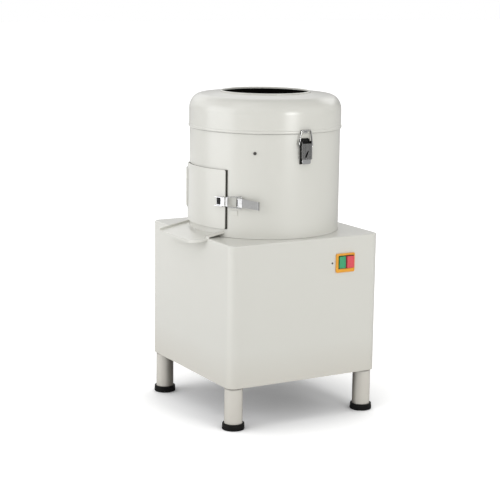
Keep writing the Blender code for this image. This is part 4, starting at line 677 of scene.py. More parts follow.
def buildFinish(name, special):
    look = dict(commonLook, **special)
    material = bpy.data.materials.new(name)
    material.use_nodes = True
    tree = material.node_tree
    shader = tree.nodes["Principled BSDF"]
    place = addNode(tree, "TexCoord").outputs["Object"]
    centred = addNode(tree, "Mapping", {"Vector": place, "Location": (-axisX, -axisY, 0)}).outputs[0]
    drift = useGroup(tree, toneDrift, Vector=place, Colour=look["colour"], Shade=look["shade"],
                     Scale=look["drift"], Amount=look["driftAmount"], Specks=look["specks"])
    colour = drift["Colour"]
    spread = look["roughSpread"]
    rough = calc(tree, "MULTIPLY_ADD", drift["Value"], spread * 2, look["roughness"] - spread)
    height = useGroup(tree, surfaceGrain, Vector=place, Scale=look["grain"], Depth=look["grainDepth"],
                      WaveScale=look["wave"], WaveDepth=look["waveDepth"])["Height"]
    if look["pattern"]:
        marks = addPattern(tree, look, place, centred)
        height = calc(tree, "ADD", height, marks["Height"])
        share = calc(tree, "MULTIPLY", marks["Value"], look["patternTone"])
        colour = blendColour(tree, share, colour, look["shade"])
    # painted dark reflection on the chosen sides
    if look["reflectionSides"]:
        colour = paintSideReflection(tree, look, colour)
    # painted shade on the inner sides and just under the cabinet
    if look["innerShade"]:
        colour = paintInnerShade(tree, look, colour, centred)
    if look["grime"]:      # painted shade: the lowest parts are darker and warmer
        low = addNode(tree, "SeparateXYZ", {0: place}).outputs["Z"]
        bottomShade = calc(tree, "MULTIPLY", remap(tree, low, *effects["lowShadeRange"]), look["grime"])
        colour = blendColour(tree, bottomShade, colour, look["lowShadeColour"])
    wear = useGroup(tree, edgeWear, Vector=place, Radius=look["wearRadius"], Amount=look["wear"])["Mask"]
    colour = blendColour(tree, wear, colour, look["wearColour"])
    dust = useGroup(tree, settledDust, Vector=place, Amount=look["dust"])["Mask"]
    colour = blendColour(tree, dust, colour, look["dustColour"])
    rough = calc(tree, "ADD", rough, calc(tree, "MULTIPLY", wear, look["wearRough"]))
    rough = calc(tree, "ADD", rough, calc(tree, "MULTIPLY", dust, effects["dustRough"]), clamp=True)
    bump = addNode(tree, "Bump", {"Height": height, "Distance": 1.0, "Strength": 1.0})
    tree.links.new(colour, shader.inputs["Base Color"])
    tree.links.new(rough, shader.inputs["Roughness"])
    tree.links.new(bump.outputs[0], shader.inputs["Normal"])
    shader.inputs["Metallic"].default_value = look["metallic"]
    shader.inputs["Specular IOR Level"].default_value = look["specular"]
    shader.inputs["Coat Weight"].default_value = look["coat"]
    shader.inputs["Coat Roughness"].default_value = look["coatRough"]
    return material


finishes = {name: buildFinish(name, special) for name, special in looks.items()}
print("finishes ready:", len(finishes))

# studio: pale floor, pale room, soft boxes

studio = {
    "floorSize": 60.0,
    "floorDrop": 0.0002,      # the feet stand just clear of it
    "floorColour": (0.93, 0.93, 0.925, 1),
    "floorShade": (0.915, 0.915, 0.91, 1),
    "floorDrift": (1.5, 0.5, 0.1),      # size, amount and specks of its uneven tone
    "floorRough": 0.9,
    "floorGlow": 0.06,
    "floorSeen": 0.42,        # painted shadow: glow the camera sees on open floor, dimmed by occlusion near the machine
    "shadeReach": 0.55,
    "shadeRange": (0.43, 0.95),
    "paintedFloorReflection": 0.40,      # painted reflection: how bright the floor looks in gloss, and where it is brighter
    "reflectionShadeRange": (0.45, 0.95, 0.12, 1.0),
    "patches": {
        "left": {"place": (-3.3, -0.6, 0.0), "near": 1.3, "far": 2.7, "change": 0.90},
        "back": {"place": (0.0, 4.2, 0.0), "near": 1.5, "far": 3.6, "change": 0.45},
    },
    "seenColour": (1.0, 1.0, 1.0, 1),
    "roomLight": 0.60,
    "roomLeft": 0.20,
    "roomTop": 0.50,
    "roomBack": 0.22,         # a band of light low behind the machine
    "bandAcross": (0.3, 0.8),
    "bandUp": (0.10, 0.17),
    "gearSize": 1.7,          # dark gaps and bright walls round the studio
    "gearRange": (0.36, 0.60, 0.35, 1.25),
    "softBoxes": {
        "frontBox": {"place": (0.43, -2.72, 0.97), "aim": (0.02, 0.0, 0.60), "size": (0.80, 0.60),
                     "watts": 16.0, "colour": (1.0, 1.0, 1.0)},
        "leftBox": {"place": (-3.1, 0.55, 1.25), "aim": (0.0, 0.0, 0.65), "size": (2.8, 2.4),
                    "watts": 34.0, "colour": (0.985, 0.99, 1.03)},
        "rightBox": {"place": (2.5, 0.8, 2.3), "aim": (0.0, 0.0, 0.8), "size": (1.6, 1.2),
                     "watts": 9.0, "colour": (1.0, 1.0, 1.0)},
    },
}


def makeFloor():
    deselectAll()
    bpy.ops.mesh.primitive_plane_add(size=studio["floorSize"], location=(0, 0, -studio["floorDrop"]))
    ground = bpy.context.object
    ground.name = "studioFloor"
    material = bpy.data.materials.new("studioFloor")
    material.use_nodes = True
    tree = material.node_tree
    shader = tree.nodes["Principled BSDF"]
    place = addNode(tree, "TexCoord").outputs["Object"]
    scale, amount, specks = studio["floorDrift"]
    tone = useGroup(tree, toneDrift, Vector=place, Colour=studio["floorColour"], Shade=studio["floorShade"],
                    Scale=scale, Amount=amount, Specks=specks)["Colour"]
    tree.links.new(tone, shader.inputs["Base Color"])
    shader.inputs["Roughness"].default_value = studio["floorRough"]
    shader.inputs["Specular IOR Level"].default_value = 0.0
    shader.inputs["Emission Color"].default_value = (1, 1, 1, 1)
    looking = addNode(tree, "LightPath").outputs
    # painted shadow: the camera's glow on the floor follows occlusion near the machine
    openness = addNode(tree, "AmbientOcclusion", {"Distance": studio["shadeReach"]}, samples=8).outputs["AO"]
    seen = calc(tree, "MULTIPLY", remap(tree, openness, *studio["shadeRange"]), studio["floorSeen"])
    seen = calc(tree, "MULTIPLY", seen, looking["Is Camera Ray"])
    tree.links.new(calc(tree, "ADD", seen, studio["floorGlow"]), shader.inputs["Emission Strength"])
    # painted reflection: glossy rays see a made-up floor brightness, brighter in patches and dimmed by
    # occlusion
    reflectionGlow = studio["paintedFloorReflection"]
    for patch in studio["patches"].values():
        gap = addNode(tree, "VectorMath", {0: place, 1: patch["place"]}, operation="DISTANCE")
        extra = remap(tree, gap.outputs["Value"], patch["near"], patch["far"], patch["change"], 0.0)
        reflectionGlow = calc(tree, "ADD", extra, reflectionGlow)
    reflectionGlow = calc(tree, "MULTIPLY", reflectionGlow, remap(tree, openness, *studio["reflectionShadeRange"]))
    paintedReflection = addNode(tree, "Emission", {"Color": reflectionGlow}).outputs[0]
    both = {0: looking["Is Glossy Ray"], 1: shader.outputs[0], 2: paintedReflection}
    surface = tree.nodes["Material Output"].inputs["Surface"]
    tree.links.new(addNode(tree, "MixShader", both).outputs[0], surface)
    ground.data.materials.append(material)


def makeRoom():
    world = bpy.context.scene.world or bpy.data.worlds.new("studioRoom")
    bpy.context.scene.world = world
    world.use_nodes = True
    tree = world.node_tree
    tree.nodes.clear()
    way = addNode(tree, "TexCoord").outputs["Generated"]
    parts = addNode(tree, "SeparateXYZ", {0: way}).outputs
    level = calc(tree, "MULTIPLY_ADD", parts["X"], -studio["roomLeft"], studio["roomLight"])
    level = calc(tree, "ADD", level, calc(tree, "MULTIPLY", parts["Z"], studio["roomTop"]))
    across = remap(tree, parts["Y"], *studio["bandAcross"])
    band = calc(tree, "MULTIPLY", across, remap(tree, parts["Z"], *studio["bandUp"]))
    level = calc(tree, "ADD", level, calc(tree, "MULTIPLY", band, studio["roomBack"]))
    gear = remap(tree, noise(tree, way, studio["gearSize"], 1.0), *studio["gearRange"])
    level = calc(tree, "MULTIPLY", level, gear)
    seen = addNode(tree, "LightPath").outputs["Is Camera Ray"]
    tone = blendColour(tree, seen, level, studio["seenColour"])
    light = addNode(tree, "Background", {"Color": tone, "Strength": 1.0}).outputs[0]
    tree.links.new(light, addNode(tree, "OutputWorld").inputs[0])


def makeLamps():
    for name, box in studio["softBoxes"].items():
        deselectAll()
        place, aim = Vector(box["place"]), Vector(box["aim"])
        turn = (place - aim).to_track_quat("Z", "Y").to_euler()
        bpy.ops.object.light_add(type="AREA", location=place, rotation=turn)
        lamp = bpy.context.object
        lamp.name = name
        lamp.data.shape = "RECTANGLE"
        lamp.data.size, lamp.data.size_y = box["size"]
        lamp.data.energy = box["watts"]
        lamp.data.color = box["colour"]
        lamp.visible_camera = False


makeCamera()
makeFloor()
makeRoom()
makeLamps()
bpy.context.scene.view_settings.view_transform = "Standard"
print("studio ready")

# base cabinet

cabinetSizes = {
    "half": 0.241,
    "bottom": 0.1205,
    "top": 0.5192,
    "corner": (0.024, 12),      # radius and steps
    "fold": (0.0042, 4),
    "sheet": 0.0015,
    "shaftHole": 0.030,
    "drainHole": 0.0232,
    "drainPlace": 0.150,
    "serviceHalf": 0.120,
    "serviceLow": 0.180,
    "serviceHigh": 0.420,
    "serviceCorner": (0.006, 4),
    "glandPlace": -0.165,
    "glandHeight": 0.160,
    "glandHole": 0.0083,
    "edge": 0.0004,
}
switchSizes = {
    "middle": (0.1252, 0.4445),
    "surround": (0.061, 0.054),
    "surroundCorner": (0.0036, 6),
    "surroundOut": 0.0040,
    "surroundRim": 0.0016,
    "surroundSink": 0.0008,
    "surroundGap": 0.0003,
    "windowShift": (0.0023, 0.0020),
    "window": (0.051, 0.038),
    "buttonCorner": (0.0022, 5),
    "buttonRim": 0.0022,
    "buttonSink": 0.0006,
    "buttonEdge": 0.0007,
    "edge": 0.0005,
}
windowX = switchSizes["middle"][0] + switchSizes["windowShift"][0]
windowZ = switchSizes["middle"][1] + switchSizes["windowShift"][1]


def windowTool(reach):      # opens the cabinet or the surround for the buttons' block
    wide, tall = switchSizes["window"]
    front = cabinetSizes["half"]
    return addBlock("window", at(windowX - wide / 2, -front - reach, windowZ - tall / 2),
                    at(windowX + wide / 2, -front + reach, windowZ + tall / 2))


def makeCabinet():
    size = cabinetSizes
    half, top, bottom = size["half"], size["top"], size["bottom"]
    shell = addBlock("cabinetShell", at(-half, -half, bottom), at(half, half, top))
    roundCorners(shell, 2, *size["corner"])
    edit(shell)
    pick(shell, "edges", lambda e: min(v.co.z for v in e.verts) > top - modelling["weld"])
    radius, steps = size["fold"]
    bpy.ops.mesh.bevel(offset=radius, segments=steps, affect="EDGES")
    pick(shell, "faces", lambda f: f.normal.z < -modelling["facing"])
    bpy.ops.mesh.delete(type="ONLY_FACE")
    leaveEdit()
    applyModifier(shell, "SOLIDIFY", thickness=size["sheet"], offset=-1, use_even_offset=True)
    tools = [addCylinder(name, size[name], at(x, 0, top - overrun), at(x, 0, top + overrun))
             for name, x in (("shaftHole", 0), ("drainHole", size["drainPlace"]))]
    door = size["serviceHalf"]
    service = addBlock("service", at(-door, half - overrun, size["serviceLow"]),
                       at(door, half + overrun, size["serviceHigh"]))
    tools += [roundCorners(service, 1, *size["serviceCorner"]), windowTool(overrun)]
    side, rise = size["glandPlace"], size["glandHeight"]
    tools.append(addCylinder("glandHole", size["glandHole"], at(side, half - overrun, rise),
                             at(side, half + overrun, rise)))
    cutWith(shell, *tools)
    roundEdges(shell, size["edge"], angle=modelling["cutAngle"])
    finishPiece(shell, "cream_paint", "frame", "cabinet_shell")


makeCabinet()
print("cabinet made")

# legs and feet

legSizes = {
    "place": 0.212,
    "radius": 0.0255,
    "wall": 0.002,
    "bottom": 0.0063,
    "top": 0.5174,
    "edge": 0.0005,
    "footRadius": 0.0315,
    "footHeight": 0.018,
    "footGap": 0.0003,
    "footMouth": (0.0005, 0.0008),      # the bevel at the cup's mouth
    # from the mouth outwards: how far inside the foot's radius, how far below its top
    "footSide": ((0.0028, 0), (0.0012, 0.0006), (0.0008, 0.0018), (0.0008, 0.0042), (0.0015, 0.0048),
                 (0.0015, 0.0060), (0.0005, 0.0066)),
    # and on to the middle: how far inside the radius, how high
    "footSole": ((0, 0.0032), (0, 0.0020), (0.0010, 0.0006), (0.0024, 0), (0.0085, 0), (0.0092, 0.0010),
                 (0.0130, 0.0010), (0.0137, 0)),
    "steps": 64,
}


def makeLegs():
    size = legSizes
    outer, inner = size["radius"], size["radius"] - size["wall"]
    low, top, reach = size["bottom"], size["top"], size["place"]
    centre = (axisX - reach, axisY - reach)
    leg = spinProfile("legFrontLeft", [(inner, low), (outer, low), (outer, top), (inner, top)],
                      steps=size["steps"], centre=centre)
    roundEdges(leg, size["edge"])
    foot, rise, gap = size["footRadius"], size["footHeight"], size["footGap"]
    wide, deep = size["footMouth"]
    bore = outer + gap
    outline = [(0, low - gap), (bore, low - gap), (bore, rise - deep), (bore + wide, rise)]
    outline += [(foot - inset, rise - drop) for inset, drop in size["footSide"]]
    outline += [(foot - inset, height) for inset, height in size["footSole"]] + [(0, 0)]
    cap = spinProfile("footFrontLeft", outline, closed=False, steps=size["steps"], centre=centre)
    twins = {"front_left": (0, 0), "front_right": (2 * reach, 0), "rear_left": (0, 2 * reach),
             "rear_right": (2 * reach, 2 * reach)}
    for corner, (dx, dy) in twins.items():
        for kind, first, slotName, look in (("leg", leg, "cream_paint", "leg_paint"),
                                            ("foot", cap, "black_rubber", None)):
            node = kind + "_" + corner
            piece = first if corner == "front_left" else copyOf(first, camelName(node), (dx, dy, 0))
            finishPiece(piece, slotName, "frame", node, look=look)


makeLegs()
print("legs made")

# peeling drum with its liner

drumSizes = {
    "radius": 0.215,
    "wall": 0.002,
    "bottom": 0.5195,
    "top": 0.8097,
    "foot": (0.0012, 0.0016, 0.0030),      # the bead: how far out, how high, where it ends
    "lip": 0.0006,
    "steps": 176,
    "openingStart": 158.0,
    "openingEnd": 207.2,
    "openingLow": 0.556,
    "openingHigh": 0.694,
    "openingTool": (0.195, 0.225, 22),      # inner and outer radius, steps
    "edge": 0.0006,
    "linerInner": 0.2032,
    "linerOuter": 0.2127,
    "linerLow": 0.530,
    "linerHigh": 0.799,
    "linerBevel": (0.003, 0.004),
    "linerSteps": 120,
    "inletHeight": 0.770,
    "inletHole": 0.0098,
    "inletTool": (0.195, 0.230, 40),
    "tabStart": 214.3,
    "tabEnd": 220.1,
    "tabLow": 0.583,
    "tabHigh": 0.597,
    "tabOut": (0.0001, 0.0020),
    "tabEdge": 0.0005,
    "tabSteps": 6,
}


def openingTool(name):
    size = drumSizes
    inner, outer, steps = size["openingTool"]
    return sector(name, inner, outer, size["openingLow"], size["openingHigh"], size["openingStart"],
                  size["openingEnd"], steps)


def inletTool(name):
    inner, outer, sides = drumSizes["inletTool"]
    rise = drumSizes["inletHeight"]
    return addCylinder(name, drumSizes["inletHole"], at(inner, 0, rise), at(outer, 0, rise), sides)


def makeDrum():
    size = drumSizes
    outer, inner, lip = size["radius"], size["radius"] - size["wall"], size["lip"]
    low, high = size["bottom"], size["top"]
    out, tall, end = size["foot"]
    sill, head = size["openingLow"], size["openingHigh"]
    outline = [(inner, low), (outer + out, low), (outer + out, low + tall), (outer, low + end), (outer, sill),
               (outer, head), (outer, high - lip), (outer - lip, high), (inner, high), (inner, head),
               (inner, sill)]
    shell = spinProfile("drumShell", outline, steps=size["steps"])
    cutWith(shell, openingTool("drumOpening"), inletTool("drumInlet"))
    roundEdges(shell, size["edge"], angle=modelling["cutAngle"])
    finishPiece(shell, "cream_paint", "frame", "drum_shell")

    near, far = size["tabOut"]
    tab = sector("stopTab", outer + near, outer + far, size["tabLow"], size["tabHigh"], size["tabStart"],
                 size["tabEnd"], size["tabSteps"])
    finishPiece(roundEdges(tab, size["tabEdge"]), "cream_paint", "frame")

    inner, outer = size["linerInner"], size["linerOuter"]
    low, high = size["linerLow"], size["linerHigh"]
    across, along = size["linerBevel"]
    outline = [(inner + across, low), (outer, low), (outer, high), (inner + across, high),
               (inner, high - along), (inner, low + along)]
    liner = spinProfile("abrasiveLiner", outline, steps=size["linerSteps"])
    cutWith(liner, openingTool("linerOpening"), inletTool("linerInlet"))
    finishPiece(liner, "abrasive_grit", "frame", "abrasive_liner")


makeDrum()
print("drum made")

# lid with its feed opening

lidSizes = {
    "radius": 0.2172,
    "bottom": 0.8103,
    "bead": (0.0016, 0.0002, 0.0004),      # how far out, its step at the foot and its gap at the top
    "beadHeight": 0.0078,
    "beadSteps": 6,
    "crown": 0.9103,
    "crownDrop": 0.0058,
    "shoulderWidth": 0.0360,
    "shoulderHeight": 0.0430,
    "shoulderSteps": 20,
    "sheet": 0.0016,
    "steps": 176,
    "feedRadius": 0.1236,
    "feedRoll": 0.0030,
    "feedRollSteps": 12,
    "feedGap": 0.0003,
    "feedWall": 0.0015,
    "feedDrop": 0.036,
    "sleeveRadius": 0.1234,
    "sleeveWall": 0.0008,
    "sleeveLow": 0.8600,
    "sleeveHigh": 0.9080,
    "sleeveTip": (0.0002, 0.0004),
    "feedSteps": 144,
    "sealEdge": 0.0003,
}


def makeLid():
    size = lidSizes
    outer, feed, crown, roll = size["radius"], size["feedRadius"], size["crown"], size["feedRoll"]
    wide, deep = size["shoulderWidth"], size["shoulderHeight"]
    shoulder, edge = outer - wide, crown - size["crownDrop"]
    mouth = feed + 2 * roll + size["feedGap"]
    rise = size["crownDrop"] / (shoulder - feed)
    outline = [(mouth, crown - rise * (mouth - feed))]
    for i in range(size["shoulderSteps"] + 1):
        a = straight * i / size["shoulderSteps"]
        outline.append((shoulder + wide * sin(a), edge - deep * (1 - cos(a))))
    low, tall = size["bottom"], size["beadHeight"]
    out, step, gap = size["bead"]
    outline.append((outer, low + tall + gap))
    for i in range(size["beadSteps"] + 1):
        a = straight - pi * i / size["beadSteps"]
        outline.append((outer + step + out * cos(a), low + tall / 2 + tall / 2 * sin(a)))
    dome = spinProfile("lidDome", thicken(outline, size["sheet"]), steps=size["steps"])
    finishPiece(dome, "cream_paint", "lid_group", "lid")

    inner, low = feed + size["feedWall"], crown - size["feedDrop"]
    ring = [(inner, low), (feed, low)]
    for i in range(size["feedRollSteps"] + 1):      # the rim rolls three quarters of the way round
        a = pi - 1.5 * pi * i / size["feedRollSteps"]
        ring.append((feed + roll + roll * cos(a), crown + roll * sin(a)))
    ring.append((inner, crown - roll))
    collar = spinProfile("feedRing", ring, steps=size["feedSteps"])
    finishPiece(collar, "cream_paint", "lid_group", "feed_ring")

    # painted shade: a near-black sleeve inside the feed opening stands for the unlit inside
    far, near = size["sleeveRadius"], size["sleeveRadius"] - size["sleeveWall"]
    low, high = size["sleeveLow"], size["sleeveHigh"]
    across, up = size["sleeveTip"]
    outline = [(near, low), (far, low), (far, high), (far - across, high + up), (near, high)]
    sleeve = spinProfile("feedShadeSleeve", outline, steps=size["feedSteps"])
    finishPiece(sleeve, "black_rubber", "lid_group", look="feed_painted_shade")
    dressNode("lid_seal", "black_rubber", size["sealEdge"])


makeLid()
print("lid made")

# discharge door, its seal, lining and hinge

doorSizes = {
    "start": 154.6,
    "end": 210.6,
    "low": 0.5422,
    "high": 0.7076,
    "inner": 0.2175,
    "outer": 0.2205,
    "steps": 28,
    "corner": (0.005, 6),
    "cornerAngle": 1.0,     # only the panel's own corners bend more, in radians
    "edge": (0.0011, 3),
    "sealShare": 0.75,      # how much of the seal's strip stays past the free edge
    "sealEdge": (0.0005, 3),
    "liningEdge": 0.0004,
}


def makeDoor():
    size = doorSizes
    panel = sector("doorPanel", size["inner"], size["outer"], size["low"], size["high"], size["start"],
                   size["end"], size["steps"])
    sheet = size["outer"] - size["inner"]
    edit(panel)
    pick(panel, "edges", lambda e: abs(e.verts[0].co.z - e.verts[1].co.z) < modelling["weld"] and
         abs(e.calc_length() - sheet) < modelling["close"] and e.calc_face_angle() > size["cornerAngle"])
    radius, steps = size["corner"]
    bpy.ops.mesh.bevel(offset=radius, segments=steps, affect="EDGES")
    leaveEdit()
    roundEdges(panel, *size["edge"], modelling["cutAngle"])
    finishPiece(panel, "cream_paint", "door", "door_panel")

    seal = smoothCopy("door_seal")
    free = radians(size["end"])
    for v in seal.data.vertices:
        reach = hypot(v.co.x - axisX, v.co.y - axisY)
        past = (atan2(v.co.y - axisY, v.co.x - axisX) + 2 * pi) % (2 * pi) - free
        if past > 0:
            turn = free + past * size["sealShare"]
            v.co.x, v.co.y = axisX + reach * cos(turn), axisY + reach * sin(turn)
    roundEdges(seal, *size["sealEdge"])
    finishPiece(seal, "black_rubber", "door", "door_seal", look="door_rubber")
    dressNode("door_lining", "abrasive_grit", size["liningEdge"])


screwShares = {      # shares of the head's radius, and of its height
    "outline": ((1, 0), (1, 0.35), (0.94, 0.62), (0.78, 0.85), (0.50, 0.97), (0, 1), (0, 0)),
    "slot": (0.62, 0.10),      # half its length, half its width
    "slotHeights": (0.45, 2.0),
    "edge": 0.03,
    "sides": 32,
}


def makeScrew(name, radius, height, place, direction):
    shares = screwShares
    outline = [(radius * across, height * up) for across, up in shares["outline"]]
    screw = spinProfile(name, outline, steps=shares["sides"], centre=(0, 0))
    long, wide = (radius * share for share in shares["slot"])
    low, high = (height * share for share in shares["slotHeights"])
    cutWith(screw, *(addBlock("slot", (-x, -y, low), (x, y, high)) for x, y in ((long, wide), (wide, long))))
    roundEdges(screw, radius * shares["edge"], 1, modelling["blockAngle"])
    return moveTo(screw, place, direction)


hingeSizes = {
    "angle": 152.0,
    "drumRadius": 0.2168,
    "doorRadius": 0.2223,
    "screwAngle": 5.0,
    "heights": (0.592, 0.635, 0.678),
    "screw": (0.0030, 0.0011),
    "leafEdge": 0.0004,
    "pinEdge": 0.0005,
}


def makeHinge():
    size = hingeSizes
    dressNode("hinge_drum_leaf", "cream_paint", size["leafEdge"])
    dressNode("hinge_door_leaf", "cream_paint", size["leafEdge"])
    dressNode("hinge_pin", "zinc_plate", size["pinEdge"])
    for side, word, radius, body in ((-1, "Drum", size["drumRadius"], "frame"),
                                     (1, "Door", size["doorRadius"], "door")):
        angle = size["angle"] + side * size["screwAngle"]
        for i, height in enumerate(size["heights"], 1):
            screw = makeScrew("hingeScrew" + word + str(i), *size["screw"], around(angle, radius, height),
                              outwards(angle))
            finishPiece(screw, "cream_paint", body)


makeDoor()
makeHinge()
print("door made")

# toggle latches: two for the lid, one for the door
# a latch is drawn flat round the origin: X across it, Y towards its hook, Z out of the drum

latchSizes = {
    "drumRadius": 0.215,
    "lidHeight": 0.786,
    "doorAngle": 221.39,
    "doorHeight": 0.6205,
    "faceOut": 0.0144,        # the lever's outer face
    "edge": 0.0004,
    "fineEdge": 0.0003,
    "keeperEdge": 0.0005,
    "bailSwell": 0.0006,      # how much thicker the lid latches' wire looks
    "bailRoot": 0.0075,
    "rivet": (0.0024, 0.0009),
    "rivetPlace": (0.0085, 0.0018, -0.0520),
    "slot": (0.0024, 0.0100),      # half sizes of the slanted opening in the lever
    "slotDepths": (0.0120, 0.0160),
    "slotDrop": 0.0315,
    "slotTurn": 27.0,
    "slotRound": (0.95, 5),        # a share of its half width, and steps
    "tabHalf": 0.0135,
    "tabStart": 0.0444,
    "tabEnd": 0.0585,
    "tabOut": 0.0110,
    "tabCorner": (0.0050, 8),
    "tabEdge": (0.0014, 4),
    "roll": (0.0022, 32),          # radius and sides
    "rollPlace": (0.0466, 0.0136),
    "rollEdge": 0.0006,
    "archLow": (0.0042, 0.0004),
    "archHigh": (0.0138, 0.0120, 0.0047),
    "archRound": (0.55, 8),        # a share of its height, and steps
    "archEdge": 0.0005,
}
doorLatchSizes = {
    "droop": 6.0,
    "droopRoot": 0.0098,
    "recess": (0.2223, 0.2229, 0.0100, 203.7, 209.6, 8),      # radii, half height, angles and steps
    "recessEdge": 0.0002,
    "leverHalf": 0.0123,
    "band": (0.0135, 0.0022),      # from and to, below the lever's pivot
    "bandOut": (0.0145, 0.0153),
    "plateLow": (-0.0125, 0.0312, 0.0088),
    "plateHigh": (0.0125, 0.0372, 0.0100),
    "plateEdge": 3,
    # painted shade: a thin black strip under the base stands for the shaded gap
    "pad": ((-0.0145, 0.0046, 0.0005), (0.0123, 0.0080, 0.0016)),
    "shadeStripArm": ((-0.0145, -0.0080, 0.0005), (-0.0111, 0.0050, 0.0016)),
}


def latchPlace(angle, height, lying):
    out = outwards(angle)
    towards = Vector((out.y, -out.x, 0)) if lying else Vector((0, 0, 1))
    turn = Matrix((towards.cross(out), towards, out)).transposed()
    return Matrix.Translation(at(0, 0, height) + out * latchSizes["drumRadius"]) @ turn.to_4x4()


def layOn(piece, place):
    piece.matrix_world = place @ piece.matrix_world
    applyPlace(piece)
    return piece


def makeSlotTool(place):
    size = latchSizes
    wide, tall = size["slot"]
    low, high = size["slotDepths"]
    share, steps = size["slotRound"]
    tool = roundCorners(addBlock("slot", (-wide, -tall, low), (wide, tall, high)), 2, wide * share, steps)
    tool.rotation_euler = (0, 0, -radians(size["slotTurn"]))
    tool.location = (0, -size["slotDrop"], 0)
    applyPlace(tool)
    return layOn(tool, place)


def makeLidLatch(node, angle):
    size = latchSizes
    name = camelName(node)
    place = latchPlace(angle, size["lidHeight"], False)
    # painted shade: the lid latch's base is near black
    dressNode(node + "_base", "bright_chrome", size["edge"], look="latch_dark")
    lever = cutWith(smoothCopy(node + "_lever"), makeSlotTool(place))
    roundEdges(lever, size["edge"])
    finishPiece(lever, "bright_chrome", bodyOf(node + "_lever"), node + "_lever", look="latch_satin")
    bail = smoothCopy(node + "_bail")
    edit(bail)      # thicker everywhere but where it passes through the lever
    pick(bail, "verts", lambda v: v.co.z > size["lidHeight"] - size["bailRoot"])
    bpy.ops.transform.shrink_fatten(value=size["bailSwell"])
    leaveEdit()
    applyModifier(bail, "SUBSURF", levels=1, render_levels=1)
    finishPiece(bail, "bright_chrome", bodyOf(node + "_bail"), node + "_bail", look="latch_wire")
    dressNode(node.replace("latch", "keeper"), "bright_chrome", size["keeperEdge"])
    side = sin(radians(angle))
    across, out, up = size["rivetPlace"]
    for i, x in enumerate((-across, across), 1):
        spot = at(x, side * (size["drumRadius"] + out), size["lidHeight"] + up)
        rivet = makeScrew(name + "Rivet" + str(i), *size["rivet"], spot, (0, side, 0))
        finishPiece(rivet, "zinc_plate", "frame")

    half, low = size["tabHalf"], -size["tabEnd"]
    tab = addBlock(name + "Tab", (-half, low, size["tabOut"]), (half, -size["tabStart"], size["faceOut"]))
    tip = low + modelling["close"]
    roundCorners(tab, 2, *size["tabCorner"], lambda e: max(v.co.y for v in e.verts) < tip)
    radius, sides = size["roll"]
    drop, out = size["rollPlace"]
    roll = addCylinder("roll", radius, (-half, -drop, out), (half, -drop, out), sides)
    joinWith(roundEdges(tab, *size["tabEdge"], modelling["blockAngle"]),
             roundEdges(roll, size["rollEdge"], angle=modelling["cutAngle"]))
    finishPiece(layOn(tab, place), "bright_chrome", bodyOf(node + "_lever"))

    # painted shade: a near-black arch stands for the dark hollow between the bail and the lever's top
    wide, high, out = size["archHigh"]
    share, steps = size["archRound"]
    arch = addBlock(name + "Arch", (-wide, *size["archLow"]), (wide, high, out))
    tip = high - modelling["close"]
    roundCorners(arch, 2, high * share, steps, lambda e: min(v.co.y for v in e.verts) > tip)
    roundEdges(arch, size["archEdge"], angle=modelling["blockAngle"])
    finishPiece(layOn(arch, place), "bright_chrome", "frame", look="latch_dark")


def makeDoorLatch():
    size, own = latchSizes, doorLatchSizes
    place = latchPlace(size["doorAngle"], size["doorHeight"], True)
    back = place.inverted()
    base = smoothCopy("door_latch_base")
    for v in base.data.vertices:      # the base follows the drooping arm
        past = (back @ v.co).y + own["droopRoot"]
        if past < 0:
            v.co.z += past * sin(radians(own["droop"]))
    roundEdges(base, size["edge"])
    finishPiece(base, "bright_chrome", bodyOf("door_latch_base"), "door_latch_base")
    dressNode("door_latch_lever", "bright_chrome", size["edge"], look="satin_nickel")
    loop = smoothCopy("door_latch_loop")
    applyModifier(loop, "SUBSURF", levels=1, render_levels=1)
    finishPiece(loop, "bright_chrome", bodyOf("door_latch_loop"), "door_latch_loop", look="loop_wire")
    dressNode("door_catch", "bright_chrome", size["keeperEdge"])
    # painted shade: a thin near-black sheet on the door stands for the catch's shaded hollow
    inner, outer, half, start, end, steps = own["recess"]
    recess = sector("doorCatchShadeRecess", inner, outer, size["doorHeight"] - half, size["doorHeight"] + half,
                    start, end, steps)
    finishPiece(roundEdges(recess, own["recessEdge"], 1), "black_rubber", "door", look="latch_dark")

    half = own["leverHalf"]
    low, high = own["band"]
    near, far = own["bandOut"]
    band = roundEdges(addBlock("doorLatchBand", (-half, -low, near), (half, -high, far)), size["fineEdge"])
    finishPiece(layOn(band, place), "bright_chrome", "door_lever")
    plate = addBlock("doorLoopPlate", own["plateLow"], own["plateHigh"])
    roundEdges(plate, size["edge"], own["plateEdge"])
    finishPiece(layOn(plate, place), "bright_chrome", "door_loop")
    # painted shade: a black strip under the base stands for the shaded gap beside the loop
    pad = joinWith(addBlock("doorLatchShadeStrip", *own["pad"]), addBlock("shadeStripArm", *own["shadeStripArm"]))
    roundEdges(pad, size["fineEdge"])
    finishPiece(layOn(pad, place), "black_rubber", "frame")


makeLidLatch("front_latch", -90)
makeLidLatch("rear_latch", 90)
makeDoorLatch()
print("latches made")

# chute under the door

chuteSizes = {
    "reach": 0.283,
    "half": 0.105,
    "side": 0.241,
    "low": 0.5198,
    "sheet": 0.0015,
    "lip": 0.0090,
    "lipEdge": 0.0004,
    "lipOut": 0.0002,
    "lipGap": 0.0003,
    "lipSteps": 20,
    "slope": 0.198,
    "corner": (0.048, 96),      # radius and sides
    "cutReach": 0.05,
    "edge": 0.0005,
    "padStart": -0.2385,      # painted shade: thin black strips under the tray's long sides stand for the shaded gap
    "shadeStripEnd": -0.1925,
    "padNear": 0.1035,
    "padFar": 0.0985,
    "shadeStripGaps": (0.0004, 0.0003),
    "shadeStripEdge": 0.0002,
}


def lean(piece):      # the tray rises towards the drum, and what lies on it follows
    size = chuteSizes
    for v in piece.data.vertices:
        v.co.z += size["slope"] * (size["side"] + v.co.x - axisX)


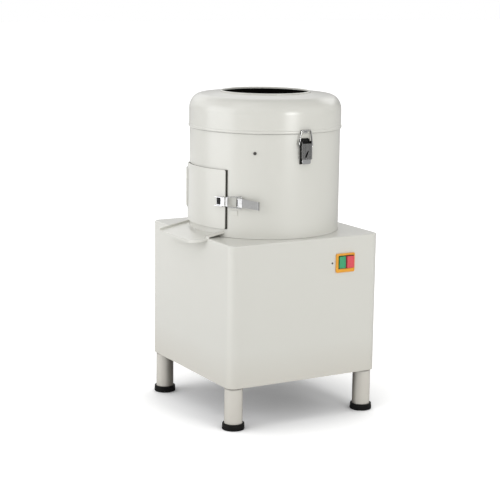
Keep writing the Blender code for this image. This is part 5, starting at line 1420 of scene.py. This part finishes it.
def makeChute():
    size = chuteSizes
    sheet, low, reach, half = size["sheet"], size["low"], size["reach"], size["half"]
    radius, sides = size["corner"]
    middle = at(radius - reach, radius - half, 0)
    deep = size["cutReach"]
    tray = smoothCopy("chute")
    corner = addBlock("corner", at(-reach - overrun, -half - overrun, low - deep),
                      (middle.x, middle.y, low + deep))
    deep += overrun
    start, end = (middle + Vector((0, 0, height)) for height in (low - deep, low + deep))
    keep = addCylinder("keep", radius, start, end, sides)
    cutWith(tray, cutWith(corner, keep))
    roundEdges(tray, size["edge"])
    inner, outer = radius - sheet, radius + size["lipOut"]
    foot, head = low - size["lip"] + sheet, low + sheet - size["lipGap"]
    lip = spinProfile("lip", [(inner, foot), (outer, foot), (outer, head), (inner, head)], fill=True,
                      start=pi, turn=straight, steps=size["lipSteps"], centre=(middle.x, middle.y))
    lean(lip)
    joinWith(tray, roundEdges(lip, size["lipEdge"]))
    finishPiece(tray, "cream_paint", "frame", "chute")

    # painted shade under the tray's long sides
    under, over = (low - gap for gap in size["shadeStripGaps"])
    for name, near, far in (("chuteShadeStripNear", -size["padNear"], -size["padFar"]),
                            ("chuteShadeStripFar", size["padFar"], size["padNear"])):
        pad = addBlock(name, at(size["padStart"], near, under), at(size["shadeStripEnd"], far, over))
        lean(pad)
        finishPiece(roundEdges(pad, size["shadeStripEdge"], 1), "black_rubber", "frame")


makeChute()
print("chute made")

# push-button switch

def boxMiddle(node):
    low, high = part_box(node)
    return (low.x + high.x) / 2, (low.z + high.z) / 2


def makeSwitch():
    size = switchSizes
    front = -cabinetSizes["half"] - size["surroundGap"]
    middleX, middleZ = size["middle"]
    wide, tall = size["surround"]
    out = size["surroundOut"]
    surround = addBlock("switchSurround", at(middleX - wide / 2, front - out, middleZ - tall / 2),
                        at(middleX + wide / 2, front, middleZ + tall / 2))
    roundCorners(surround, 1, *size["surroundCorner"])
    sinkFront(surround, size["surroundRim"], size["surroundSink"])
    cutWith(surround, windowTool(2 * overrun))
    roundEdges(surround, size["edge"], 3)
    finishPiece(surround, "yellow_plastic", "frame", "switch_surround")
    dressNode("switch_block", "dark_plastic", size["edge"], 3)
    for word, slotName in (("start", "green_plastic"), ("stop", "red_plastic")):
        node = word + "_button"
        button = roundCorners(addBlock(camelName(node), *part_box(node)), 1, *size["buttonCorner"])
        sinkFront(button, size["buttonRim"], size["buttonSink"])
        roundEdges(button, size["buttonEdge"], 3, modelling["blockAngle"])
        finishPiece(button, slotName, word, node)
    low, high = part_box("switch_screw")
    x, z = boxMiddle("switch_screw")
    screw = makeScrew("switchScrew", (high.x - low.x) / 2, high.y - low.y, (x, high.y, z), (0, -1, 0))
    finishPiece(screw, "cast_iron", "frame", "switch_screw")


makeSwitch()
print("switch made")

# rear cover, its vent and screws

coverSizes = {
    "half": 0.135,
    "low": 0.165,
    "high": 0.435,
    "near": 0.2413,
    "thickness": 0.0015,
    "corner": (0.008, 8),
    "edge": 0.0003,
    "ventCount": 5,
    "ventPitch": 0.016,
    "ventHalf": 0.060,
    "ventHeight": 0.006,
    "ventRound": (0.48, 6),      # a share of its height, and steps
    "hood": (0.0042, 0.0050, 8),      # inner and outer radius, steps
    "screw": (0.0042, 0.0022),
}


def makeRearCover():
    size = coverSizes
    near, far = size["near"], size["near"] + size["thickness"]
    half, low, high = size["half"], size["low"], size["high"]
    plate = addBlock("rearCover", at(-half, near, low), at(half, far, high))
    roundCorners(plate, 1, *size["corner"])
    lowest = (low + high) / 2 - (size["ventCount"] - 1) / 2 * size["ventPitch"]
    tall, wide = size["ventHeight"], size["ventHalf"]
    share, steps = size["ventRound"]
    slit = addBlock("slit", at(-wide, near - overrun, lowest - tall / 2),
                    at(wide, far + overrun, lowest + tall / 2))
    roundCorners(slit, 1, tall * share, steps)
    inner, outer, steps = size["hood"]
    hood = spinProfile("hood", [(outer, -wide), (inner, -wide), (inner, wide), (outer, wide)], fill=True,
                       start=-straight, turn=straight, steps=steps, centre=(0, 0))
    hood.rotation_euler = (0, straight, 0)
    applyPlace(hood)
    hoods = []
    for i in range(size["ventCount"]):
        rise = i * size["ventPitch"]
        cutWith(plate, copyOf(slit, "slitCopy", (0, 0, rise)))
        hoods.append(copyOf(hood, "hoodCopy", at(0, far, lowest + rise)))
    for tool in (slit, hood):
        bpy.data.objects.remove(tool, do_unlink=True)
    roundEdges(plate, size["edge"], angle=modelling["cutAngle"])
    joinWith(plate, *hoods)
    finishPiece(plate, "cream_paint", "frame", "rear_cover")
    for node in ("cover_screw_left", "cover_screw_right"):
        x, z = boxMiddle(node)
        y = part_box(node)[0].y
        name = camelName(node)
        screw = makeScrew(name, *size["screw"], (x, y, z), (0, 1, 0))
        finishPiece(screw, "zinc_plate", "frame", node)
        lower = makeScrew(name + "Low", *size["screw"], (x, y, low + high - z), (0, 1, 0))
        finishPiece(lower, "zinc_plate", "frame")


makeRearCover()
print("rear cover made")

# drum bolt, cable gland, water inlet and drain

boltSizes = {
    "place": (-127.4, 0.2153, 0.757),      # angle, radius and height
    "head": (0.0036, 0.0042),
    "headEdge": 0.0005,
    "washer": (0.0022, 0.0046, 0.0007),
    "washerEdge": 0.0002,
    "sides": 32,
}
glandSizes = {
    "radius": 0.0125,
    "outer": (0.0003, 0.0063),
    "inner": (-0.0048, -0.0018),
    "bore": (0.0070, 32),
    "boreEnds": (-0.02, 0.03),
    "edges": (0.0006, 0.0004),
    # radius and how far out of the cabinet
    "body": ((0.0045, -0.0115), (0.0080, -0.0115), (0.0080, 0.0060), (0.0102, 0.0062), (0.0106, 0.0075),
             (0.0104, 0.0130), (0.0092, 0.0160), (0.0066, 0.0178), (0.0050, 0.0180), (0.0045, 0.0174)),
    "steps": 48,
}
inletSizes = {
    "face": 0.2165,
    # radius and how far out of the drum: the flange, one barb and the tip
    "bore": 0.0065,
    "stem": 0.0095,
    "flange": ((0.0095, 0), (0.0180, 0), (0.0180, 0.0024), (0.0174, 0.0030), (0.0118, 0.0030),
               (0.0095, 0.0046)),
    "barb": ((0.0095, 0), (0.0107, 0.0006), (0.0095, 0.0040)),
    "barbStarts": (0.0090, 0.0135, 0.0180),
    "tip": ((0.0090, 0.0236), (0.0084, 0.0240), (0.0070, 0.0240), (0.0065, 0.0236)),
    "steps": 48,
}
drainSizes = {
    # radius and height
    "outline": ((0.0202, 0.1000), (0.0216, 0.1000), (0.0222, 0.1006), (0.0222, 0.1060), (0.0236, 0.1066),
                (0.0236, 0.1086), (0.0222, 0.1092), (0.0222, 0.5228), (0.0285, 0.5228), (0.0285, 0.5240),
                (0.0279, 0.5248), (0.0214, 0.5248), (0.0202, 0.5238)),
    "steps": 64,
}


def makeBolt():
    size = boltSizes
    radius, height = size["head"]
    bolt = addCylinder("drumBolt", radius, (0, 0, 0), (0, 0, height), sides=6)
    inner, outer, thick = size["washer"]
    washer = spinProfile("washer", [(inner, 0), (outer, 0), (outer, thick), (inner, thick)],
                         steps=size["sides"], centre=(0, 0))
    joinWith(roundEdges(bolt, size["headEdge"]), roundEdges(washer, size["washerEdge"], 1))
    moveTo(bolt, around(*size["place"]), outwards(size["place"][0]))
    finishPiece(bolt, "cast_iron", "frame", "drum_bolt")


def makeGland():
    size = glandSizes
    radius = size["radius"]
    bore, sides = size["bore"]
    gland, nut = (addCylinder(name, radius, (0, 0, size[part][0]), (0, 0, size[part][1]), sides=6)
                  for name, part in (("cableGland", "outer"), ("glandNut", "inner")))
    outerEdge, innerEdge = size["edges"]
    roundEdges(gland, outerEdge)
    for part in (gland, nut):
        low, high = size["boreEnds"]
        cutWith(part, addCylinder("bore", bore, (0, 0, low), (0, 0, high), sides))
    body = spinProfile("glandBody", size["body"], steps=size["steps"], centre=(0, 0))
    joinWith(gland, body, roundEdges(nut, innerEdge))
    place = at(cabinetSizes["glandPlace"], cabinetSizes["half"], cabinetSizes["glandHeight"])
    moveTo(gland, place, (0, 1, 0))
    finishPiece(gland, "dark_plastic", "frame", "cable_gland")


def makeInlet():
    size = inletSizes
    face, inner = size["face"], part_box("water_inlet")[0].x - axisX
    outline = [(size["bore"], inner), (size["stem"], inner)]
    outline += [(radius, face + out) for radius, out in size["flange"]]
    outline += [(radius, face + start + out) for start in size["barbStarts"] for radius, out in size["barb"]]
    outline += [(radius, face + out) for radius, out in size["tip"]]
    inlet = spinProfile("waterInlet", outline, steps=size["steps"], centre=(0, 0))
    moveTo(inlet, at(0, 0, drumSizes["inletHeight"]), (1, 0, 0))
    finishPiece(inlet, "zinc_plate", "frame", "water_inlet")


def makeDrain():
    centre = (axisX + cabinetSizes["drainPlace"], axisY)
    drain = spinProfile("drainPipe", drainSizes["outline"], steps=drainSizes["steps"], centre=centre)
    finishPiece(drain, "zinc_plate", "frame", "drain_pipe")


makeBolt()
makeGland()
makeInlet()
makeDrain()
print("fittings made")

# peeling disc and what drives it

discSizes = {
    "radius": 0.195,
    "bore": 0.0125,
    "hubRadius": 0.024,
    "bottom": 0.548,
    "top": 0.556,
    "hubDrop": 0.008,
    "rim": (0.001, 0.0012, 0.0005, 0.0003),      # bevel below, bevel above, and the point between
    "steps": 120,
    "waves": 3,
    "waveHeight": 0.0100,
    "waveShare": 0.75,
    "waveSkin": 0.0006,      # points this far below the top rise too
    "waveStart": 0.001,
    "rings": 22,
    "paddleIn": 0.045,
    "paddleOut": 0.185,
    "paddleHalf": 0.002,
    "paddleLow": 0.5275,
    "paddleSink": 0.004,
    "paddleEdge": 0.0008,
}
nutSizes = {
    "radius": 0.022,
    "low": 0.5563,
    "high": 0.5660,
    "edge": (0.0010, 3),
    "bore": (0.0126, 40),
    "boreEnds": (0.55, 0.5745),
    "crown": 0.0172,
    "crownLow": 0.5655,
    "crownSide": 0.5700,
    "crownHeight": 0.0123,
    "crownAngles": (15, 30, 45, 60, 75, 90),
    "steps": 48,
}


def makeDisc():
    size = discSizes
    top, low, hub, outer, bore = (size[k] for k in ("top", "bottom", "hubRadius", "radius", "bore"))
    foot = low - size["hubDrop"]
    under, over, step, drop = size["rim"]
    outline = [(bore, top), (bore, foot), (hub, foot), (hub, low), (outer - under, low), (outer, low + under),
               (outer, top - over), (outer - step, top - drop)]
    rings = size["rings"]
    outline += [(outer - over + (hub - outer + over) * i / rings, top) for i in range(rings + 1)]
    disc = spinProfile("peelingDisc", outline, steps=size["steps"])
    for v in disc.data.vertices:      # broad waves rise towards the middle of the disc's reach
        across, deep = v.co.x - axisX, v.co.y - axisY
        reach = (hypot(across, deep) - hub) / (outer - hub)
        if v.co.z > top - size["waveSkin"] and reach > size["waveStart"]:
            wave = (1 + cos(size["waves"] * atan2(deep, across))) / 2
            v.co.z += size["waveHeight"] * wave * sin(reach * pi * size["waveShare"])
    low, high, half = size["paddleLow"], top - size["paddleSink"], size["paddleHalf"]
    for side in (-1, 1):
        near, far = sorted((side * size["paddleIn"], side * size["paddleOut"]))
        paddle = addBlock("paddle", at(-half, near, low), at(half, far, high))
        joinWith(disc, roundEdges(paddle, size["paddleEdge"]))
    finishPiece(disc, "abrasive_grit", "disc", "abrasive_disc")


def makeCapNut():
    size = nutSizes
    nut = addCylinder("discCapNut", size["radius"], at(0, 0, size["low"]), at(0, 0, size["high"]), sides=6)
    roundEdges(nut, *size["edge"])
    wide, low, side = size["crown"], size["crownLow"], size["crownSide"]
    dome = [(wide, low), (wide, side)]
    rise = size["crownHeight"]
    dome += [(wide * cos(radians(a)), side + rise * sin(radians(a))) for a in size["crownAngles"]]
    crown = spinProfile("crown", dome + [(0, low)], steps=size["steps"])
    bore, sides = size["bore"]
    start, end = (at(0, 0, height) for height in size["boreEnds"])
    for part in (nut, crown):
        cutWith(part, addCylinder("bore", bore, start, end, sides))
    joinWith(nut, crown)
    finishPiece(nut, "turned_steel", "disc", "disc_cap_nut")


motorSizes = {
    "place": 0.152,
    "radius": 0.062,
    "bellRadius": 0.046,
    "bell": 0.022,
    "bellBore": 0.010,
    "bellRim": ((0, 0), (0, 0.006), (0.003, 0.009)),      # how far inside the body's radius, how far along
    "bellNeck": ((-0.004, 0.011), (0, 0.014)),      # the same inside the bell's radius
    "bellTip": 0.003,
    "bellSteps": 72,
    "low": 0.140,
    "high": 0.322,
    "finDepth": 0.0048,
    "finCount": 36,
    "finEdge": 0.0005,
    "boxEdge": (0.0020, 3),
    "bracketEdge": 0.0010,
}


def makeMotor():
    size = motorSizes
    place = at(0, size["place"], 0)
    outer, bell, tip = size["radius"], size["bellRadius"], size["bellTip"]
    low, high = size["low"], size["high"]
    start, end = low + size["bell"], high - size["bell"]
    shell = addCylinder("motorBody", outer - size["finDepth"], place + Vector((0, 0, start)),
                        place + Vector((0, 0, end)), sides=size["finCount"] * 2)
    edit(shell)
    step = pi / size["finCount"]      # every second face of the round side becomes a fin
    pick(shell, "faces", lambda f: abs(f.normal.z) < 1 - modelling["facing"] and
         round((atan2(f.normal.y, f.normal.x) + 2 * pi) / step - 0.5) % 2 == 0)
    bpy.ops.mesh.extrude_region_shrink_fatten(TRANSFORM_OT_shrink_fatten={"value": size["finDepth"]})
    leaveEdit()
    roundEdges(shell, size["finEdge"], angle=modelling["blockAngle"])
    for name, near, far in (("lowBell", start, low), ("highBell", end, high)):
        way = 1 if far > near else -1
        outline = [(size["bellBore"], near)]
        outline += [(outer - inset, near + way * along) for inset, along in size["bellRim"]]
        outline += [(bell - inset, near + way * along) for inset, along in size["bellNeck"]]
        outline += [(bell, far - way * tip), (bell - tip, far), (size["bellBore"], far)]
        joinWith(shell, spinProfile(name, outline, steps=size["bellSteps"], centre=(place.x, place.y)))
    finishPiece(shell, "motor_paint", "frame", "motor_body")
    dressNode("motor_terminal_box", "motor_paint", *size["boxEdge"])
    dressNode("motor_bracket", "zinc_plate", size["bracketEdge"])


driveNodes = {      # node: (finish, width of the soft edges)
    "motor_pulley": ("turned_steel", 0.0005),
    "drive_pulley": ("cast_iron", 0.0007),
    "drive_belt": ("black_rubber", 0.0006),
    "drive_shaft": ("turned_steel", 0.0008),
    "bearing_housing": ("cast_iron", 0.0012),
    "bearing_upper": ("turned_steel", 0.0004),
    "bearing_lower": ("turned_steel", 0.0004),
    "shaft_seal": ("black_rubber", 0.0005),
    "drum_floor": ("cream_paint", 0.0006),
    "base_pan": ("zinc_plate", 0.0004),
}

makeDisc()
makeCapNut()
makeMotor()
for node, (slotName, edge) in driveNodes.items():
    dressNode(node, slotName, edge)
print("drive made")
